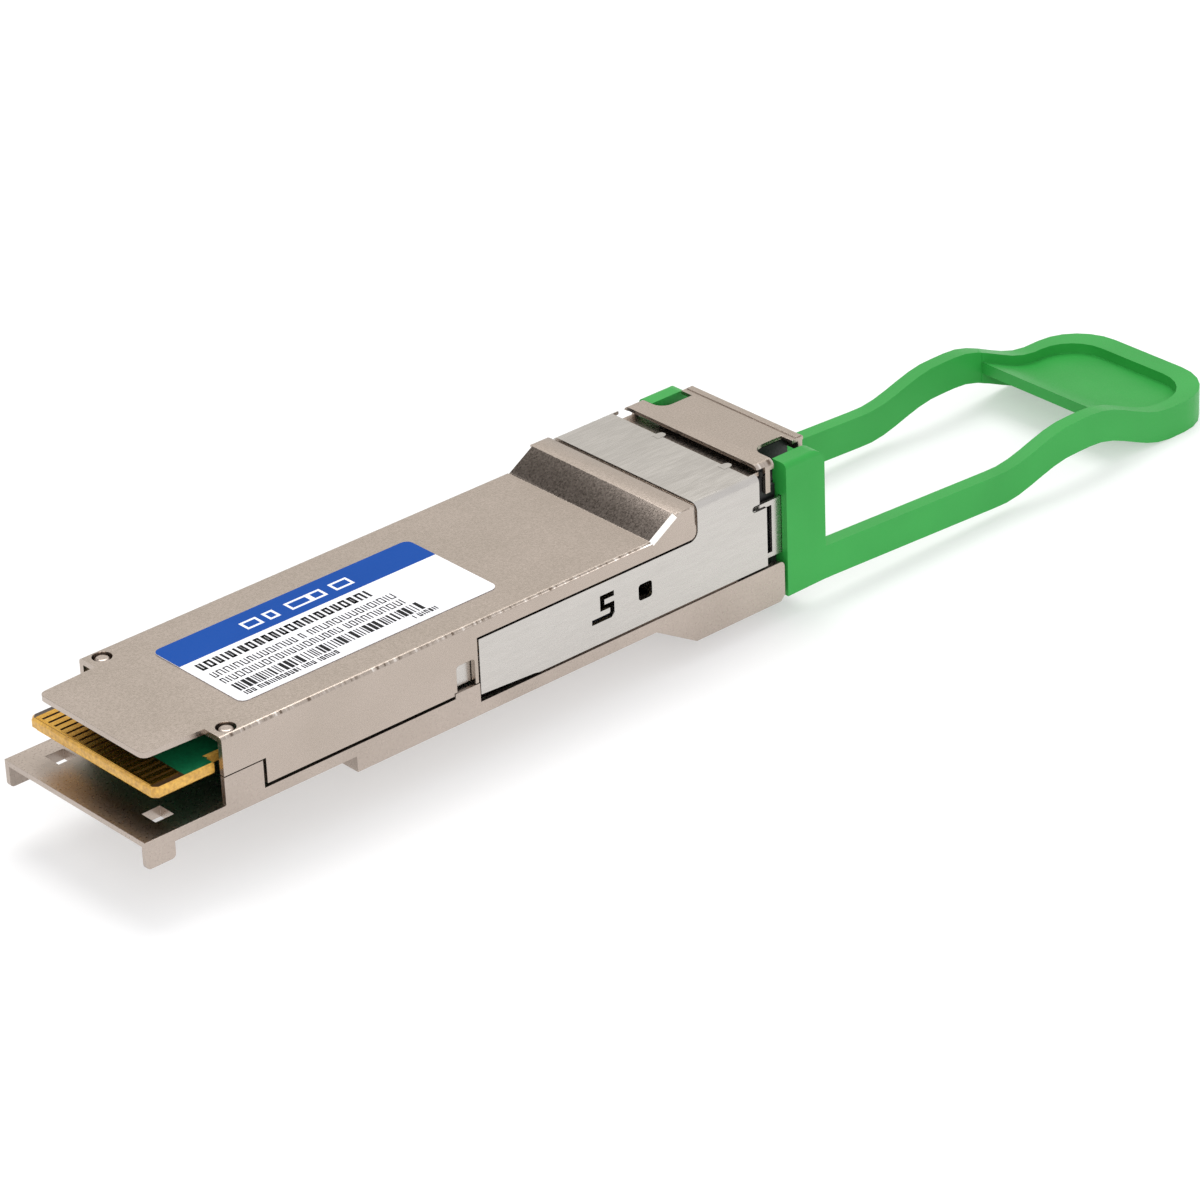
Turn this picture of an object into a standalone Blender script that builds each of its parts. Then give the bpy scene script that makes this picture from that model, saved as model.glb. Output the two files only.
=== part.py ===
"""Pluggable optical transceiver module: sheet-metal shells, latch slider, pull tab, card and optics.

The module lies along X with its edge card at the low-X end and its pull tab at the high-X end.
Stations are distances from the front edge; heights are measured from the underside of the body.
The frame's origin is under the middle of the whole object, level with the lowest point of the tab.
"""

import math

import bmesh
import bpy
from mathutils import Matrix, Vector

MM = 0.001

# Overall sizes
BODY_WIDTH = 18.35 * MM
BODY_HEIGHT = 8.5 * MM
HEAD_TOP = 10.13 * MM
HEAD_DROP = 2.6 * MM
OVERALL_LENGTH = 123.2 * MM
SHEET = 0.5 * MM
SHELL_GAP = 0.1 * MM
SEAT_GAP = 0.05 * MM
SIDE_SEAM = 0.3 * MM
EDGE_ROUND = 0.35 * MM

# Base shell stations
TONGUE_HEIGHT = 2.45 * MM
LIP_HEIGHT = 1.0 * MM
FOOT_LENGTH = 2.85 * MM
WALL_START = 8.0 * MM
SLIT_STATION = 12.0 * MM
FRONT_WALL_TOP = 4.95 * MM
BASE_STEP = 21.1 * MM
RAMP_START = 53.3 * MM
RAMP_END = 57.8 * MM
BASE_END = 68.05 * MM
SKIRT_TOP = 1.15 * MM
LATCH_POCKET = 34.1 * MM
POCKET_TAB_START = 31.5 * MM
POCKET_TAB_TOP = 2.9 * MM
SIDE_WALL_END = 63.0 * MM
INNER_WALL = 0.45 * MM
INNER_WALL_START = 41.0 * MM
ARM_GAP = 0.08 * MM
TONGUE_HOLE = 1.8 * MM
TONGUE_HOLE_STATION = 3.45 * MM
TONGUE_HOLE_SIDE = 6.3 * MM
BOARD_POST_DIAMETER = 1.8 * MM
BOARD_POST_SIDE = 6.0 * MM

# Cover shell stations
COVER_FRONT = 2.2 * MM
COVER_TONGUE_FRONT_WIDTH = 13.6 * MM
COVER_TONGUE_ROOT_WIDTH = 14.1 * MM
COVER_RAMP_START = 53.1 * MM
COVER_RAMP_END = 55.8 * MM
COVER_RAMP_CHAMFER = 0.38 * MM
COVER_END = 58.05 * MM
COVER_CORNER = 0.6 * MM
COVER_SHELF_END = 63.9 * MM
COVER_LEDGE_END = 66.5 * MM
COVER_LEDGE_WIDTH = 15.7 * MM
COVER_SKIRT = 7.1 * MM
WINDOW_TOP = 5.35 * MM
WINDOW_START = 31.7 * MM
WINDOW_END = 33.65 * MM
WINDOW_CORNER = 0.3 * MM
PIN_STATION = 9.4 * MM
PIN_DIAMETER = 1.3 * MM
PIN_HOLE_GAP = 0.2 * MM
PIN_DOME = 0.25 * MM

# Latch slider
SLIDER_SHEET = 0.3 * MM
SLIDER_INSET = 0.1 * MM
SLIDER_SEAM = 0.28 * MM
SLIDER_FRONT = 34.25 * MM
SLIDER_STRAP_END = 64.7 * MM
SLIDER_CORNER_END = 65.4 * MM
SLIDER_SIDE_END = 66.2 * MM
SLIDER_STEP_HEIGHT = 6.87 * MM
SLIDER_ARM_BOTTOM = 1.33 * MM
SLIDER_TIP_BOTTOM = 1.75 * MM
SLIDER_TIP_END = 40.0 * MM
SLIDER_BEND = 0.7 * MM
LATCH_TRAVEL = 2.0 * MM
HOOK_DEPTH = 0.55 * MM
HOOK_HEIGHT = 0.6 * MM
STRAP_TAB_REACH = 0.6 * MM
STRAP_TAB_WIDTH = 0.8 * MM
STRAP_TAB_SIDES = (2.5 * MM, -5.7 * MM)
FINGER_START = 32.1 * MM
FINGER_BOTTOM = 3.15 * MM
FINGER_TOP = 5.1 * MM
FINGER_BRIDGE = 0.4 * MM
EAR_TOP = 6.95 * MM
EAR_BOTTOM = 1.6 * MM
EAR_END = 71.4 * MM
EAR_WINDOW_START = 65.3 * MM
EAR_WINDOW_END = 67.3 * MM
EAR_RAIL = 0.45 * MM
CRANK_START = 46.35 * MM
CRANK_WIDTH = 2.5 * MM
CRANK_BOTTOM = 3.3 * MM
CRANK_HEIGHT = 2.4 * MM
CRANK_STROKE = 0.48 * MM
SPRING_WINDOW = 1.5 * MM
SPRING_TAB_STATION = 53.4 * MM
SPRING_HEIGHT = 4.33 * MM

# Return springs
SPRING_DIAMETER = 1.25 * MM
SPRING_WIRE = 0.22 * MM
SPRING_TURNS = 7
SPRING_SIDE = 7.42 * MM

# Pull tab
TAB_THICKNESS = 1.4 * MM
TAB_BLOCK_THICKNESS = 1.68 * MM
TAB_BLOCK_START = 68.4 * MM
TAB_BLOCK_END = 72.9 * MM
TAB_BLOCK_BOTTOM = -2.45 * MM
TAB_BLOCK_ROUND = 0.5 * MM
TAB_ARM_HEIGHT = 3.1 * MM
TAB_ROOT_MIDDLE = -0.85 * MM
TAB_DROOP_END = 94.5 * MM
TAB_DROOP_MIDDLE = -1.85 * MM
TAB_CREST_START = 103.5 * MM
TAB_CREST_END = 105.8 * MM
TAB_CREST_MIDDLE = -0.15 * MM
TAB_PAD_LEVEL = 116.5 * MM
TAB_PAD_MIDDLE = -3.2 * MM
TAB_WEB_START = 109.2 * MM
TAB_WEB_THICKNESS = 1.1 * MM
TAB_END_RIM = 2.2 * MM
TAB_CORNER = 5.0 * MM

# Head: receptacle housing, retainer plate and optical barrels
HOUSING_START = 59.2 * MM
HOUSING_END = 72.0 * MM
HOUSING_STEP = 67.4 * MM
HOUSING_WAIST = 68.2 * MM
HOUSING_WIDTH = 15.9 * MM
HOUSING_NECK_WIDTH = 14.7 * MM
HOUSING_LOW_TOP = 8.6 * MM
HOUSING_MID_TOP = 9.15 * MM
HOUSING_SIDE_TOP = 8.0 * MM
PLATE_GAP = 0.09 * MM
PLATE_SHEET = 0.33 * MM
PLATE_FRONT = 65.9 * MM
PLATE_END = 72.6 * MM
PLATE_HEM = 0.08 * MM
PLATE_HEM_LENGTH = 0.75 * MM
PLATE_WIDTH = 16.7 * MM
PLATE_BEND = 0.6 * MM
PLATE_NOTCH_START = 67.8 * MM
PLATE_NOTCH_END = 71.3 * MM
PLATE_NOTCH_WIDTH = 11.1 * MM
PLATE_TAIL_WIDTH = 13.8 * MM
PLATE_LEG_START = 66.8 * MM
PLATE_LEG_END = 67.35 * MM
PLATE_LEG_BOTTOM = 7.65 * MM
PORT_PITCH = 6.25 * MM
PORT_WIDTH = 4.7 * MM
PORT_HEIGHT = 5.4 * MM
PORT_AXIS = 3.3 * MM
PORT_DEPTH = 11.0 * MM
KEYWAY_WIDTH = 2.4 * MM
KEYWAY_HEIGHT = 1.9 * MM
KEYWAY_DEPTH = 8.0 * MM
BARREL_DIAMETER = 2.9 * MM
BARREL_FLANGE = 4.2 * MM
BARREL_START = 57.0 * MM
BARREL_END = 67.3 * MM
FERRULE_BORE = 1.35 * MM
STUB_DIAMETER = 1.25 * MM
STUB_END = 61.0 * MM
SCREW_STATION = 62.4 * MM
SCREW_SIDE = 5.6 * MM
SCREW_DIAMETER = 1.4 * MM
SCREW_HEAD = 2.4 * MM
SCREW_HEAD_HEIGHT = 0.3 * MM
SCREW_LENGTH = 2.5 * MM

# Board and what stands on it
BOARD_START = 2.0 * MM
BOARD_END = 44.5 * MM
BOARD_TOP = 6.0 * MM
BOARD_THICKNESS = 1.0 * MM
PADDLE_WIDTH = 16.42 * MM
PADDLE_END = 8.0 * MM
PADDLE_CHAMFER = 0.45 * MM
BOARD_WAIST_WIDTH = 13.8 * MM
BOARD_WAIST_END = 10.6 * MM
BOARD_WIDTH = 16.0 * MM
CONTACT_COUNT = 19
CONTACT_PITCH = 0.8 * MM
CONTACT_WIDTH = 0.54 * MM
CONTACT_START = 2.2 * MM
CONTACT_LENGTH = 2.75 * MM
CONTACT_BAR = 0.2 * MM
CONTACT_THICKNESS = 0.06 * MM
OPTICS_START = 47.0 * MM
OPTICS_END = 56.9 * MM
OPTICS_SPACE = 0.45 * MM
OPTICS_BOTTOM = 1.6 * MM
OPTICS_TOP = 6.9 * MM
FLEX_THICKNESS = 0.15 * MM
FLEX_WIDTH = 4.6 * MM

# Label
LABEL_START = 12.6 * MM
LABEL_LENGTH = 26.6 * MM
LABEL_WIDTH = 11.55 * MM
LABEL_OFFSET = -0.16 * MM
LABEL_THICKNESS = 0.06 * MM

HALF_WIDTH = BODY_WIDTH / 2
PIN_SIDE = HALF_WIDTH - SHEET - PIN_DIAMETER / 2 - SEAT_GAP
OPTICS_WIDTH = PORT_PITCH - OPTICS_SPACE
# The strap's end slides under the plate, so the plate's lip stays above it ahead of the legs.
PLATE_LIP_BOTTOM = HEAD_TOP + PLATE_GAP / 2
SLIDER_OUTER = HALF_WIDTH - SLIDER_INSET
SLIDER_INNER = SLIDER_OUTER - SLIDER_SHEET
SLIDER_ARM_TOP = COVER_SKIRT - SLIDER_SEAM
STRAP_FRONT = COVER_END + SLIDER_SEAM
BODY_UNDERSIDE = -(TAB_PAD_MIDDLE - TAB_ARM_HEIGHT / 2)
FRONT = -OVERALL_LENGTH / 2

MATERIALS = {
    "nickel_base": ((0.56, 0.52, 0.48, 1.0), 0.34, 1.0),
    "nickel_cover": ((0.60, 0.56, 0.52, 1.0), 0.32, 1.0),
    "bright_steel": ((0.78, 0.77, 0.76, 1.0), 0.28, 1.0),
    "spring_steel": ((0.55, 0.55, 0.56, 1.0), 0.3, 1.0),
    "green_moulding": ((0.06, 0.45, 0.10, 1.0), 0.45, 0.0),
    "dark_moulding": ((0.03, 0.03, 0.035, 1.0), 0.5, 0.0),
    "board_laminate": ((0.02, 0.20, 0.10, 1.0), 0.4, 0.0),
    "gold_plate": ((0.83, 0.57, 0.20, 1.0), 0.3, 1.0),
    "optic_case": ((0.70, 0.66, 0.55, 1.0), 0.35, 1.0),
    "flex_film": ((0.55, 0.28, 0.07, 1.0), 0.4, 0.0),
    "ceramic": ((0.88, 0.87, 0.84, 1.0), 0.25, 0.0),
    "chip_resin": ((0.02, 0.02, 0.022, 1.0), 0.55, 0.0),
    "ferrite": ((0.12, 0.12, 0.13, 1.0), 0.6, 0.0),
    "gap_pad": ((0.45, 0.50, 0.62, 1.0), 0.8, 0.0),
    "gasket_foam": ((0.10, 0.10, 0.10, 1.0), 0.85, 0.0),
    "label_film": ((0.90, 0.90, 0.90, 1.0), 0.45, 0.0),
}


def place(station, side, height):
    """World point for a station from the front, a side offset and a height over the body underside."""
    return Vector((FRONT + station, side, BODY_UNDERSIDE + height))


def new_collection(name):
    collection = bpy.data.collections.new(name)
    bpy.context.scene.collection.children.link(collection)
    return collection


def material(name):
    found = bpy.data.materials.get(name)
    if found:
        return found
    colour, roughness, metallic = MATERIALS[name]
    made = bpy.data.materials.new(name)
    made.use_nodes = True
    shader = made.node_tree.nodes["Principled BSDF"]
    shader.inputs["Base Color"].default_value = colour
    shader.inputs["Roughness"].default_value = roughness
    shader.inputs["Metallic"].default_value = metallic
    made.diffuse_color = colour
    return made


def link(name, mesh, collection):
    made = bpy.data.objects.new(name, mesh)
    collection.objects.link(made)
    return made


def mesh_from(bm, name):
    mesh = bpy.data.meshes.new(name)
    bm.to_mesh(mesh)
    bm.free()
    return mesh


def box(name, stations, sides, heights, collection):
    """A box between pairs of stations, side offsets and heights."""
    low = place(stations[0], sides[0], heights[0])
    high = place(stations[1], sides[1], heights[1])
    size = high - low
    bm = bmesh.new()
    bmesh.ops.create_cube(bm, size=1.0)
    bmesh.ops.scale(bm, vec=size, verts=bm.verts)
    made = link(name, mesh_from(bm, name), collection)
    made.location = (low + high) / 2
    return made


def curve_to_mesh(made, name, collection):
    """Swap a curve object for a closed mesh object in the same place."""
    bpy.context.view_layer.update()
    evaluated = made.evaluated_get(bpy.context.evaluated_depsgraph_get())
    mesh = bpy.data.meshes.new_from_object(evaluated)
    bm = bmesh.new()
    bm.from_mesh(mesh)
    bmesh.ops.remove_doubles(bm, verts=bm.verts, dist=1e-7)
    bm.to_mesh(mesh)
    bm.free()
    matrix = made.matrix_world.copy()
    data = made.data
    bpy.data.objects.remove(made)
    bpy.data.curves.remove(data)
    swapped = link(name, mesh, collection)
    swapped.matrix_world = matrix
    return swapped


def flat_outline(name, points, thickness, matrix, collection):
    """An extruded flat outline: the points lie in the matrix's XY plane, the thickness along its Z."""
    curve = bpy.data.curves.new(name, "CURVE")
    curve.dimensions = "2D"
    curve.fill_mode = "BOTH"
    curve.extrude = thickness / 2
    spline = curve.splines.new("POLY")
    spline.points.add(len(points) - 1)
    for point, (across, up) in zip(spline.points, points):
        point.co = (across, up, 0.0, 1.0)
    spline.use_cyclic_u = True
    made = bpy.data.objects.new(name + "_outline", curve)
    collection.objects.link(made)
    made.matrix_world = matrix
    return curve_to_mesh(made, name, collection)


def side_outline(name, points, sides, collection):
    """A prism whose outline is (station, height) pairs, between two side offsets."""
    turn = Matrix.Rotation(math.radians(90), 4, "X")
    middle = place(0.0, (sides[0] + sides[1]) / 2, 0.0)
    return flat_outline(name, points, sides[1] - sides[0], Matrix.Translation(middle) @ turn, collection)


def top_outline(name, points, heights, collection):
    """A prism whose outline is (station, side) pairs, between two heights."""
    middle = place(0.0, 0.0, (heights[0] + heights[1]) / 2)
    return flat_outline(name, points, heights[1] - heights[0], Matrix.Translation(middle), collection)


def end_outline(name, points, stations, collection):
    """A prism whose outline is (side, height) pairs, between two stations."""
    turn = Matrix(((0, 0, 1, 0), (1, 0, 0, 0), (0, 1, 0, 0), (0, 0, 0, 1)))
    middle = place((stations[0] + stations[1]) / 2, 0.0, 0.0)
    matrix = Matrix.Translation(middle) @ turn
    return flat_outline(name, points, stations[1] - stations[0], matrix, collection)


def rod(name, base, axis, diameter, length, collection, sides=24, top_diameter=None):
    """A cylinder or cone from a base point along a world axis."""
    bm = bmesh.new()
    wide = diameter / 2
    narrow = wide if top_diameter is None else top_diameter / 2
    bmesh.ops.create_cone(bm, cap_ends=True, segments=sides, radius1=wide, radius2=narrow, depth=length)
    made = link(name, mesh_from(bm, name), collection)
    direction = Vector(axis).normalized()
    made.rotation_euler = direction.to_track_quat("Z", "Y").to_euler()
    made.location = base + direction * length / 2
    smooth(made)
    return made


def smooth(made, angle=35):
    made.data.shade_smooth()
    made.data.set_sharp_from_angle(angle=math.radians(angle))


def boolean(target, other, operation):
    """Cut or join with the exact solver; the other object becomes a hidden guide."""
    modifier = target.modifiers.new(operation.lower() + "_" + other.name, "BOOLEAN")
    modifier.operation = operation
    modifier.solver = "EXACT"
    modifier.object = other
    other.hide_render = True
    other.display_type = "WIRE"


def cut(target, *others):
    for other in others:
        boolean(target, other, "DIFFERENCE")


def join(target, *others):
    for other in others:
        boolean(target, other, "UNION")


def keep_inside(target, other):
    boolean(target, other, "INTERSECT")


def dress(made, slot):
    made.data.materials.clear()
    made.data.materials.append(material(slot))
    return made


def bevel(made, width, segments=2, angle=40):
    modifier = made.modifiers.new("edge_round", "BEVEL")
    modifier.width = width
    modifier.segments = segments
    modifier.limit_method = "ANGLE"
    modifier.angle_limit = math.radians(angle)
    return made


def arc(centre, radius, start, end, steps=6):
    """Points on an arc, angles in degrees."""
    turn = [math.radians(start + (end - start) * step / steps) for step in range(steps + 1)]
    return [(centre[0] + radius * math.cos(a), centre[1] + radius * math.sin(a)) for a in turn]


def mirrored_names(name):
    """Side names and signs: near is the low-Y side, far is the high-Y side."""
    return ((name + "_near", -1), (name + "_far", 1))


def side_range(sign, inner, outer):
    """Side offsets from inner to outer on one side of the module, in rising order."""
    return (inner, outer) if sign > 0 else (-outer, -inner)


def channel_outline(outer, top, bottom, radius, sheet):
    """An upside-down U with rounded shoulders, as (side, height) pairs."""
    outside = [(outer, bottom)]
    outside += arc((outer - radius, top - radius), radius, 0, 90)
    outside += arc((radius - outer, top - radius), radius, 90, 180)
    outside += [(-outer, bottom)]
    inner = outer - sheet
    fillet = max(radius - sheet, 0.05 * MM)
    roof = top - sheet
    inside = [(-inner, bottom)]
    inside += arc((fillet - inner, roof - fillet), fillet, 180, 90)
    inside += arc((inner - fillet, roof - fillet), fillet, 90, 0)
    inside += [(inner, bottom)]
    return outside + inside


def build_base(parts, guides):
    """Folded base shell: tongue with feet, floor, side walls, ramp and deep head skirt."""
    lip_bottom = TONGUE_HEIGHT - LIP_HEIGHT
    skirt_bottom = -HEAD_DROP
    floor = [
        (0.0, TONGUE_HEIGHT - SHEET), (BASE_STEP, TONGUE_HEIGHT - SHEET), (BASE_STEP, 0.0),
        (RAMP_START, 0.0), (RAMP_END, skirt_bottom), (BASE_END - SHEET, skirt_bottom),
        (BASE_END - 0.1 * MM, skirt_bottom + SHEET), (RAMP_END + 0.2 * MM, skirt_bottom + SHEET),
        (RAMP_START + 0.2 * MM, SHEET), (BASE_STEP + SHEET, SHEET),
        (BASE_STEP + SHEET, TONGUE_HEIGHT), (0.0, TONGUE_HEIGHT),
    ]
    base = side_outline("base_shell", floor, (SHEET / 2 - HALF_WIDTH, HALF_WIDTH - SHEET / 2), parts)
    foot_round = 0.4 * MM
    wall = [(0.0, foot_round)]
    wall += arc((foot_round, foot_round), foot_round, 180, 270, 4)
    wall += arc((FOOT_LENGTH - foot_round, foot_round), foot_round, 270, 360, 4)
    wall += [
        (FOOT_LENGTH, lip_bottom), (BASE_STEP, lip_bottom), (BASE_STEP, 0.0), (RAMP_START, 0.0),
        (RAMP_END, skirt_bottom), (BASE_END - SHEET, skirt_bottom), (BASE_END, skirt_bottom + SHEET),
    ]
    skirt_round = 0.5 * MM
    wall += arc((BASE_END - skirt_round, SKIRT_TOP - skirt_round), skirt_round, 0, 90, 4)
    wall += [
        (LATCH_POCKET, SKIRT_TOP), (LATCH_POCKET, POCKET_TAB_TOP), (POCKET_TAB_START, POCKET_TAB_TOP),
        (POCKET_TAB_START, TONGUE_HEIGHT), (SLIT_STATION - SIDE_SEAM / 2, TONGUE_HEIGHT),
        (SLIT_STATION - SIDE_SEAM / 2, FRONT_WALL_TOP), (WALL_START, FRONT_WALL_TOP),
        (WALL_START, TONGUE_HEIGHT), (0.0, TONGUE_HEIGHT),
    ]
    inner_top = SLIDER_ARM_TOP - SHELL_GAP
    inner_wall = [
        (INNER_WALL_START, 0.2 * MM), (RAMP_START, 0.2 * MM), (RAMP_END, skirt_bottom + 0.2 * MM),
        (SIDE_WALL_END, skirt_bottom + 0.2 * MM), (SIDE_WALL_END, inner_top), (INNER_WALL_START, inner_top),
    ]
    outer = HALF_WIDTH
    inner = HALF_WIDTH - SHEET
    channel = inner_wall_sides()
    for tag, sign in mirrored_names("base_wall"):
        join(base, side_outline(tag, wall, side_range(sign, inner, outer), guides))
    for tag, sign in mirrored_names("base_inner_wall"):
        join(base, side_outline(tag, inner_wall, side_range(sign, *channel), guides))
    slot_start = SPRING_TAB_STATION - SLIDER_SHEET - SPRING_WINDOW - SIDE_SEAM
    slot_end = SPRING_TAB_STATION + LATCH_TRAVEL + SHELL_GAP * 4
    slot_half = SPRING_WINDOW / 2 + SHELL_GAP
    for tag, sign in mirrored_names("base_slot"):
        sides = side_range(sign, channel[0] - SHEET, channel[1] + SHELL_GAP / 2)
        cut(base, box(tag, (slot_start, slot_end), sides,
                      (SPRING_HEIGHT - slot_half, SPRING_HEIGHT + slot_half), guides))
        cut(base, box(tag + "_crank", (CRANK_START - SIDE_SEAM, CRANK_START + CRANK_WIDTH + SIDE_SEAM), sides,
                      (CRANK_BOTTOM - SIDE_SEAM, CRANK_BOTTOM + CRANK_HEIGHT + SIDE_SEAM), guides))
    collar = TONGUE_HOLE / 2 + SHEET
    for tag, sign in mirrored_names("tongue_collar"):
        side = sign * TONGUE_HOLE_SIDE
        stations = (TONGUE_HOLE_STATION - collar, TONGUE_HOLE_STATION + collar)
        join(base, box(tag, stations, (side - collar, side + collar),
                       (lip_bottom, TONGUE_HEIGHT - SHEET / 2), guides))
    half_hole = TONGUE_HOLE / 2
    for tag, sign in mirrored_names("tongue_hole"):
        side = sign * TONGUE_HOLE_SIDE
        stations = (TONGUE_HOLE_STATION - half_hole, TONGUE_HOLE_STATION + half_hole)
        cut(base, box(tag, stations, (side - half_hole, side + half_hole),
                      (lip_bottom - SHEET, TONGUE_HEIGHT + SHEET), guides))
    for number, station in enumerate((BASE_STEP + 3.0 * MM, BOARD_END - 3.0 * MM)):
        for tag, sign in mirrored_names("board_post_%d" % number):
            start = place(station, sign * BOARD_POST_SIDE, SHEET / 2)
            height = BOARD_TOP - BOARD_THICKNESS - SEAT_GAP - SHEET / 2
            join(base, rod(tag, start, (0, 0, 1), BOARD_POST_DIAMETER, height, guides, 16))
    for tag, sign in mirrored_names("screw_clearance"):
        start = place(SCREW_STATION, sign * SCREW_SIDE, skirt_bottom - SHEET)
        cut(base, rod(tag, start, (0, 0, 1), SCREW_DIAMETER + 2 * SHELL_GAP, 3 * SHEET, guides, 20))
    below = SHELL_GAP
    flare = below * (SCREW_HEAD - SCREW_DIAMETER) / SCREW_HEAD_HEIGHT
    wide = SCREW_HEAD + 2 * SHELL_GAP + flare
    narrow = SCREW_DIAMETER + 2 * SHELL_GAP
    for tag, sign in mirrored_names("screw_sink"):
        start = place(SCREW_STATION, sign * SCREW_SIDE, skirt_bottom + SEAT_GAP / 2 - below)
        cut(base, rod(tag, start, (0, 0, 1), wide, SCREW_HEAD_HEIGHT + below, guides, 20, narrow))
    return dress(base, "nickel_base")


def inner_wall_sides():
    """Side offsets of the base's inner walls, behind the slider's arms."""
    outer = SLIDER_INNER - ARM_GAP
    return (outer - INNER_WALL, outer)


def build_cover(parts, guides):
    """Cover shell: narrow front tongue, folded sides, ramp and raised head top."""
    outline = channel_outline(HALF_WIDTH, BODY_HEIGHT, TONGUE_HEIGHT + SHELL_GAP, EDGE_ROUND, SHEET)
    cover = end_outline("cover_shell", outline, (WALL_START, COVER_END), parts)
    raised = [
        (COVER_RAMP_START, BODY_HEIGHT), (COVER_RAMP_END, HEAD_TOP), (COVER_END, HEAD_TOP),
        (COVER_END, COVER_SKIRT), (COVER_RAMP_START, COVER_SKIRT),
    ]
    head = side_outline("cover_head", raised, (-HALF_WIDTH, HALF_WIDTH), guides)
    bevel(head, EDGE_ROUND / 2, 2)
    join(cover, head)
    chamfer_ramp(cover, guides)
    shelf_top = HEAD_TOP - SLIDER_SHEET - SHELL_GAP
    roof = shelf_top - INNER_WALL
    hollow_side = HALF_WIDTH - SHEET
    throat_start = COVER_RAMP_START - 2.0 * MM
    throat = [
        (COVER_RAMP_START + 0.3 * MM, BODY_HEIGHT - SHEET), (COVER_RAMP_END, roof), (COVER_END + SHEET, roof),
        (COVER_END + SHEET, 0.0), (throat_start, 0.0), (throat_start, BODY_HEIGHT - SHEET),
    ]
    cut(cover, side_outline("cover_throat", throat, (-hollow_side, hollow_side), guides))
    span = HALF_WIDTH + SHEET
    turn = (COVER_END - COVER_CORNER, COVER_SKIRT + COVER_CORNER)
    corner = arc(turn, COVER_CORNER, 270, 360)
    corner += [(COVER_END + SHEET, turn[1]), (COVER_END + SHEET, COVER_SKIRT - SHEET)]
    corner += [(turn[0], COVER_SKIRT - SHEET)]
    cut(cover, side_outline("cover_corner", corner, (-span, span), guides))
    shelf = channel_outline(inner_wall_sides()[1], shelf_top, COVER_SKIRT + SHELL_GAP, 0.55 * MM, INNER_WALL)
    join(cover, end_outline("cover_shelf", shelf, (COVER_END - SHEET, COVER_SHELF_END), guides))
    ledge = COVER_LEDGE_WIDTH / 2
    inset = SEAT_GAP / 2
    join(cover, box("cover_ledge", (COVER_SHELF_END - SHEET, COVER_LEDGE_END), (-ledge, ledge),
                    (roof + inset, shelf_top - inset), guides))
    cut(cover, side_outline("cover_trim", cover_trim(), (-span, span), guides))
    front = COVER_TONGUE_FRONT_WIDTH / 2
    root = COVER_TONGUE_ROOT_WIDTH / 2
    nose = 0.7 * MM
    tongue = arc((COVER_FRONT + nose, nose - front), nose, 270, 180, 4)
    tongue += arc((COVER_FRONT + nose, front - nose), nose, 180, 90, 4)
    tongue += [(WALL_START + SHEET, root), (WALL_START + SHEET, -root)]
    join(cover, top_outline("cover_tongue", tongue, (BODY_HEIGHT - SHEET, BODY_HEIGHT), guides))
    for tag, sign in mirrored_names("pin_hole"):
        start = place(PIN_STATION, sign * PIN_SIDE, BODY_HEIGHT - 2 * SHEET)
        cut(cover, rod(tag, start, (0, 0, 1), PIN_DIAMETER + 2 * PIN_HOLE_GAP, 3 * SHEET, guides, 20))
    return dress(cover, "nickel_cover")


def chamfer_ramp(cover, guides):
    """Chamfer the two long edges of the cover's ramp."""
    low = place(COVER_RAMP_START, 0.0, BODY_HEIGHT)
    high = place(COVER_RAMP_END, 0.0, HEAD_TOP)
    along = (high - low).normalized()
    across = Vector((0, 1, 0))
    turn = Matrix((across, along.cross(across), along)).transposed().to_4x4()
    matrix = Matrix.Translation((low + high) / 2) @ turn
    past = SHEET
    for tag, sign in mirrored_names("ramp_chamfer"):
        edge = sign * (HALF_WIDTH - COVER_RAMP_CHAMFER - past)
        beyond = sign * (HALF_WIDTH + past)
        points = [(edge, past), (beyond, -COVER_RAMP_CHAMFER - past), (beyond, past)]
        cut(cover, flat_outline(tag, points, (high - low).length, matrix, guides))


def cover_trim():
    """Side view of what is cut from below the cover, as (station, height) pairs."""
    front_gap = FRONT_WALL_TOP + SHELL_GAP
    seam_top = TONGUE_HEIGHT + SIDE_SEAM
    slit_end = SLIT_STATION + SIDE_SEAM / 2
    pocket_top = POCKET_TAB_TOP + SHELL_GAP
    pocket_start = POCKET_TAB_START - SHELL_GAP
    strip_end = LATCH_POCKET - SHELL_GAP
    past = COVER_LEDGE_END + SHEET
    trim = [(WALL_START - SHEET, 0.0), (past, 0.0), (past, COVER_SKIRT)]
    trim += [(strip_end, COVER_SKIRT), (strip_end, pocket_top), (WINDOW_END, pocket_top)]
    round_height = WINDOW_TOP - WINDOW_CORNER
    trim += arc((WINDOW_END - WINDOW_CORNER, round_height), WINDOW_CORNER, 0, 90, 4)
    trim += arc((WINDOW_START + WINDOW_CORNER, round_height), WINDOW_CORNER, 90, 180, 4)
    trim += [(WINDOW_START, pocket_top), (pocket_start, pocket_top), (pocket_start, seam_top)]
    trim += [(slit_end, seam_top), (slit_end, front_gap), (WALL_START - SHEET, front_gap)]
    return trim


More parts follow.
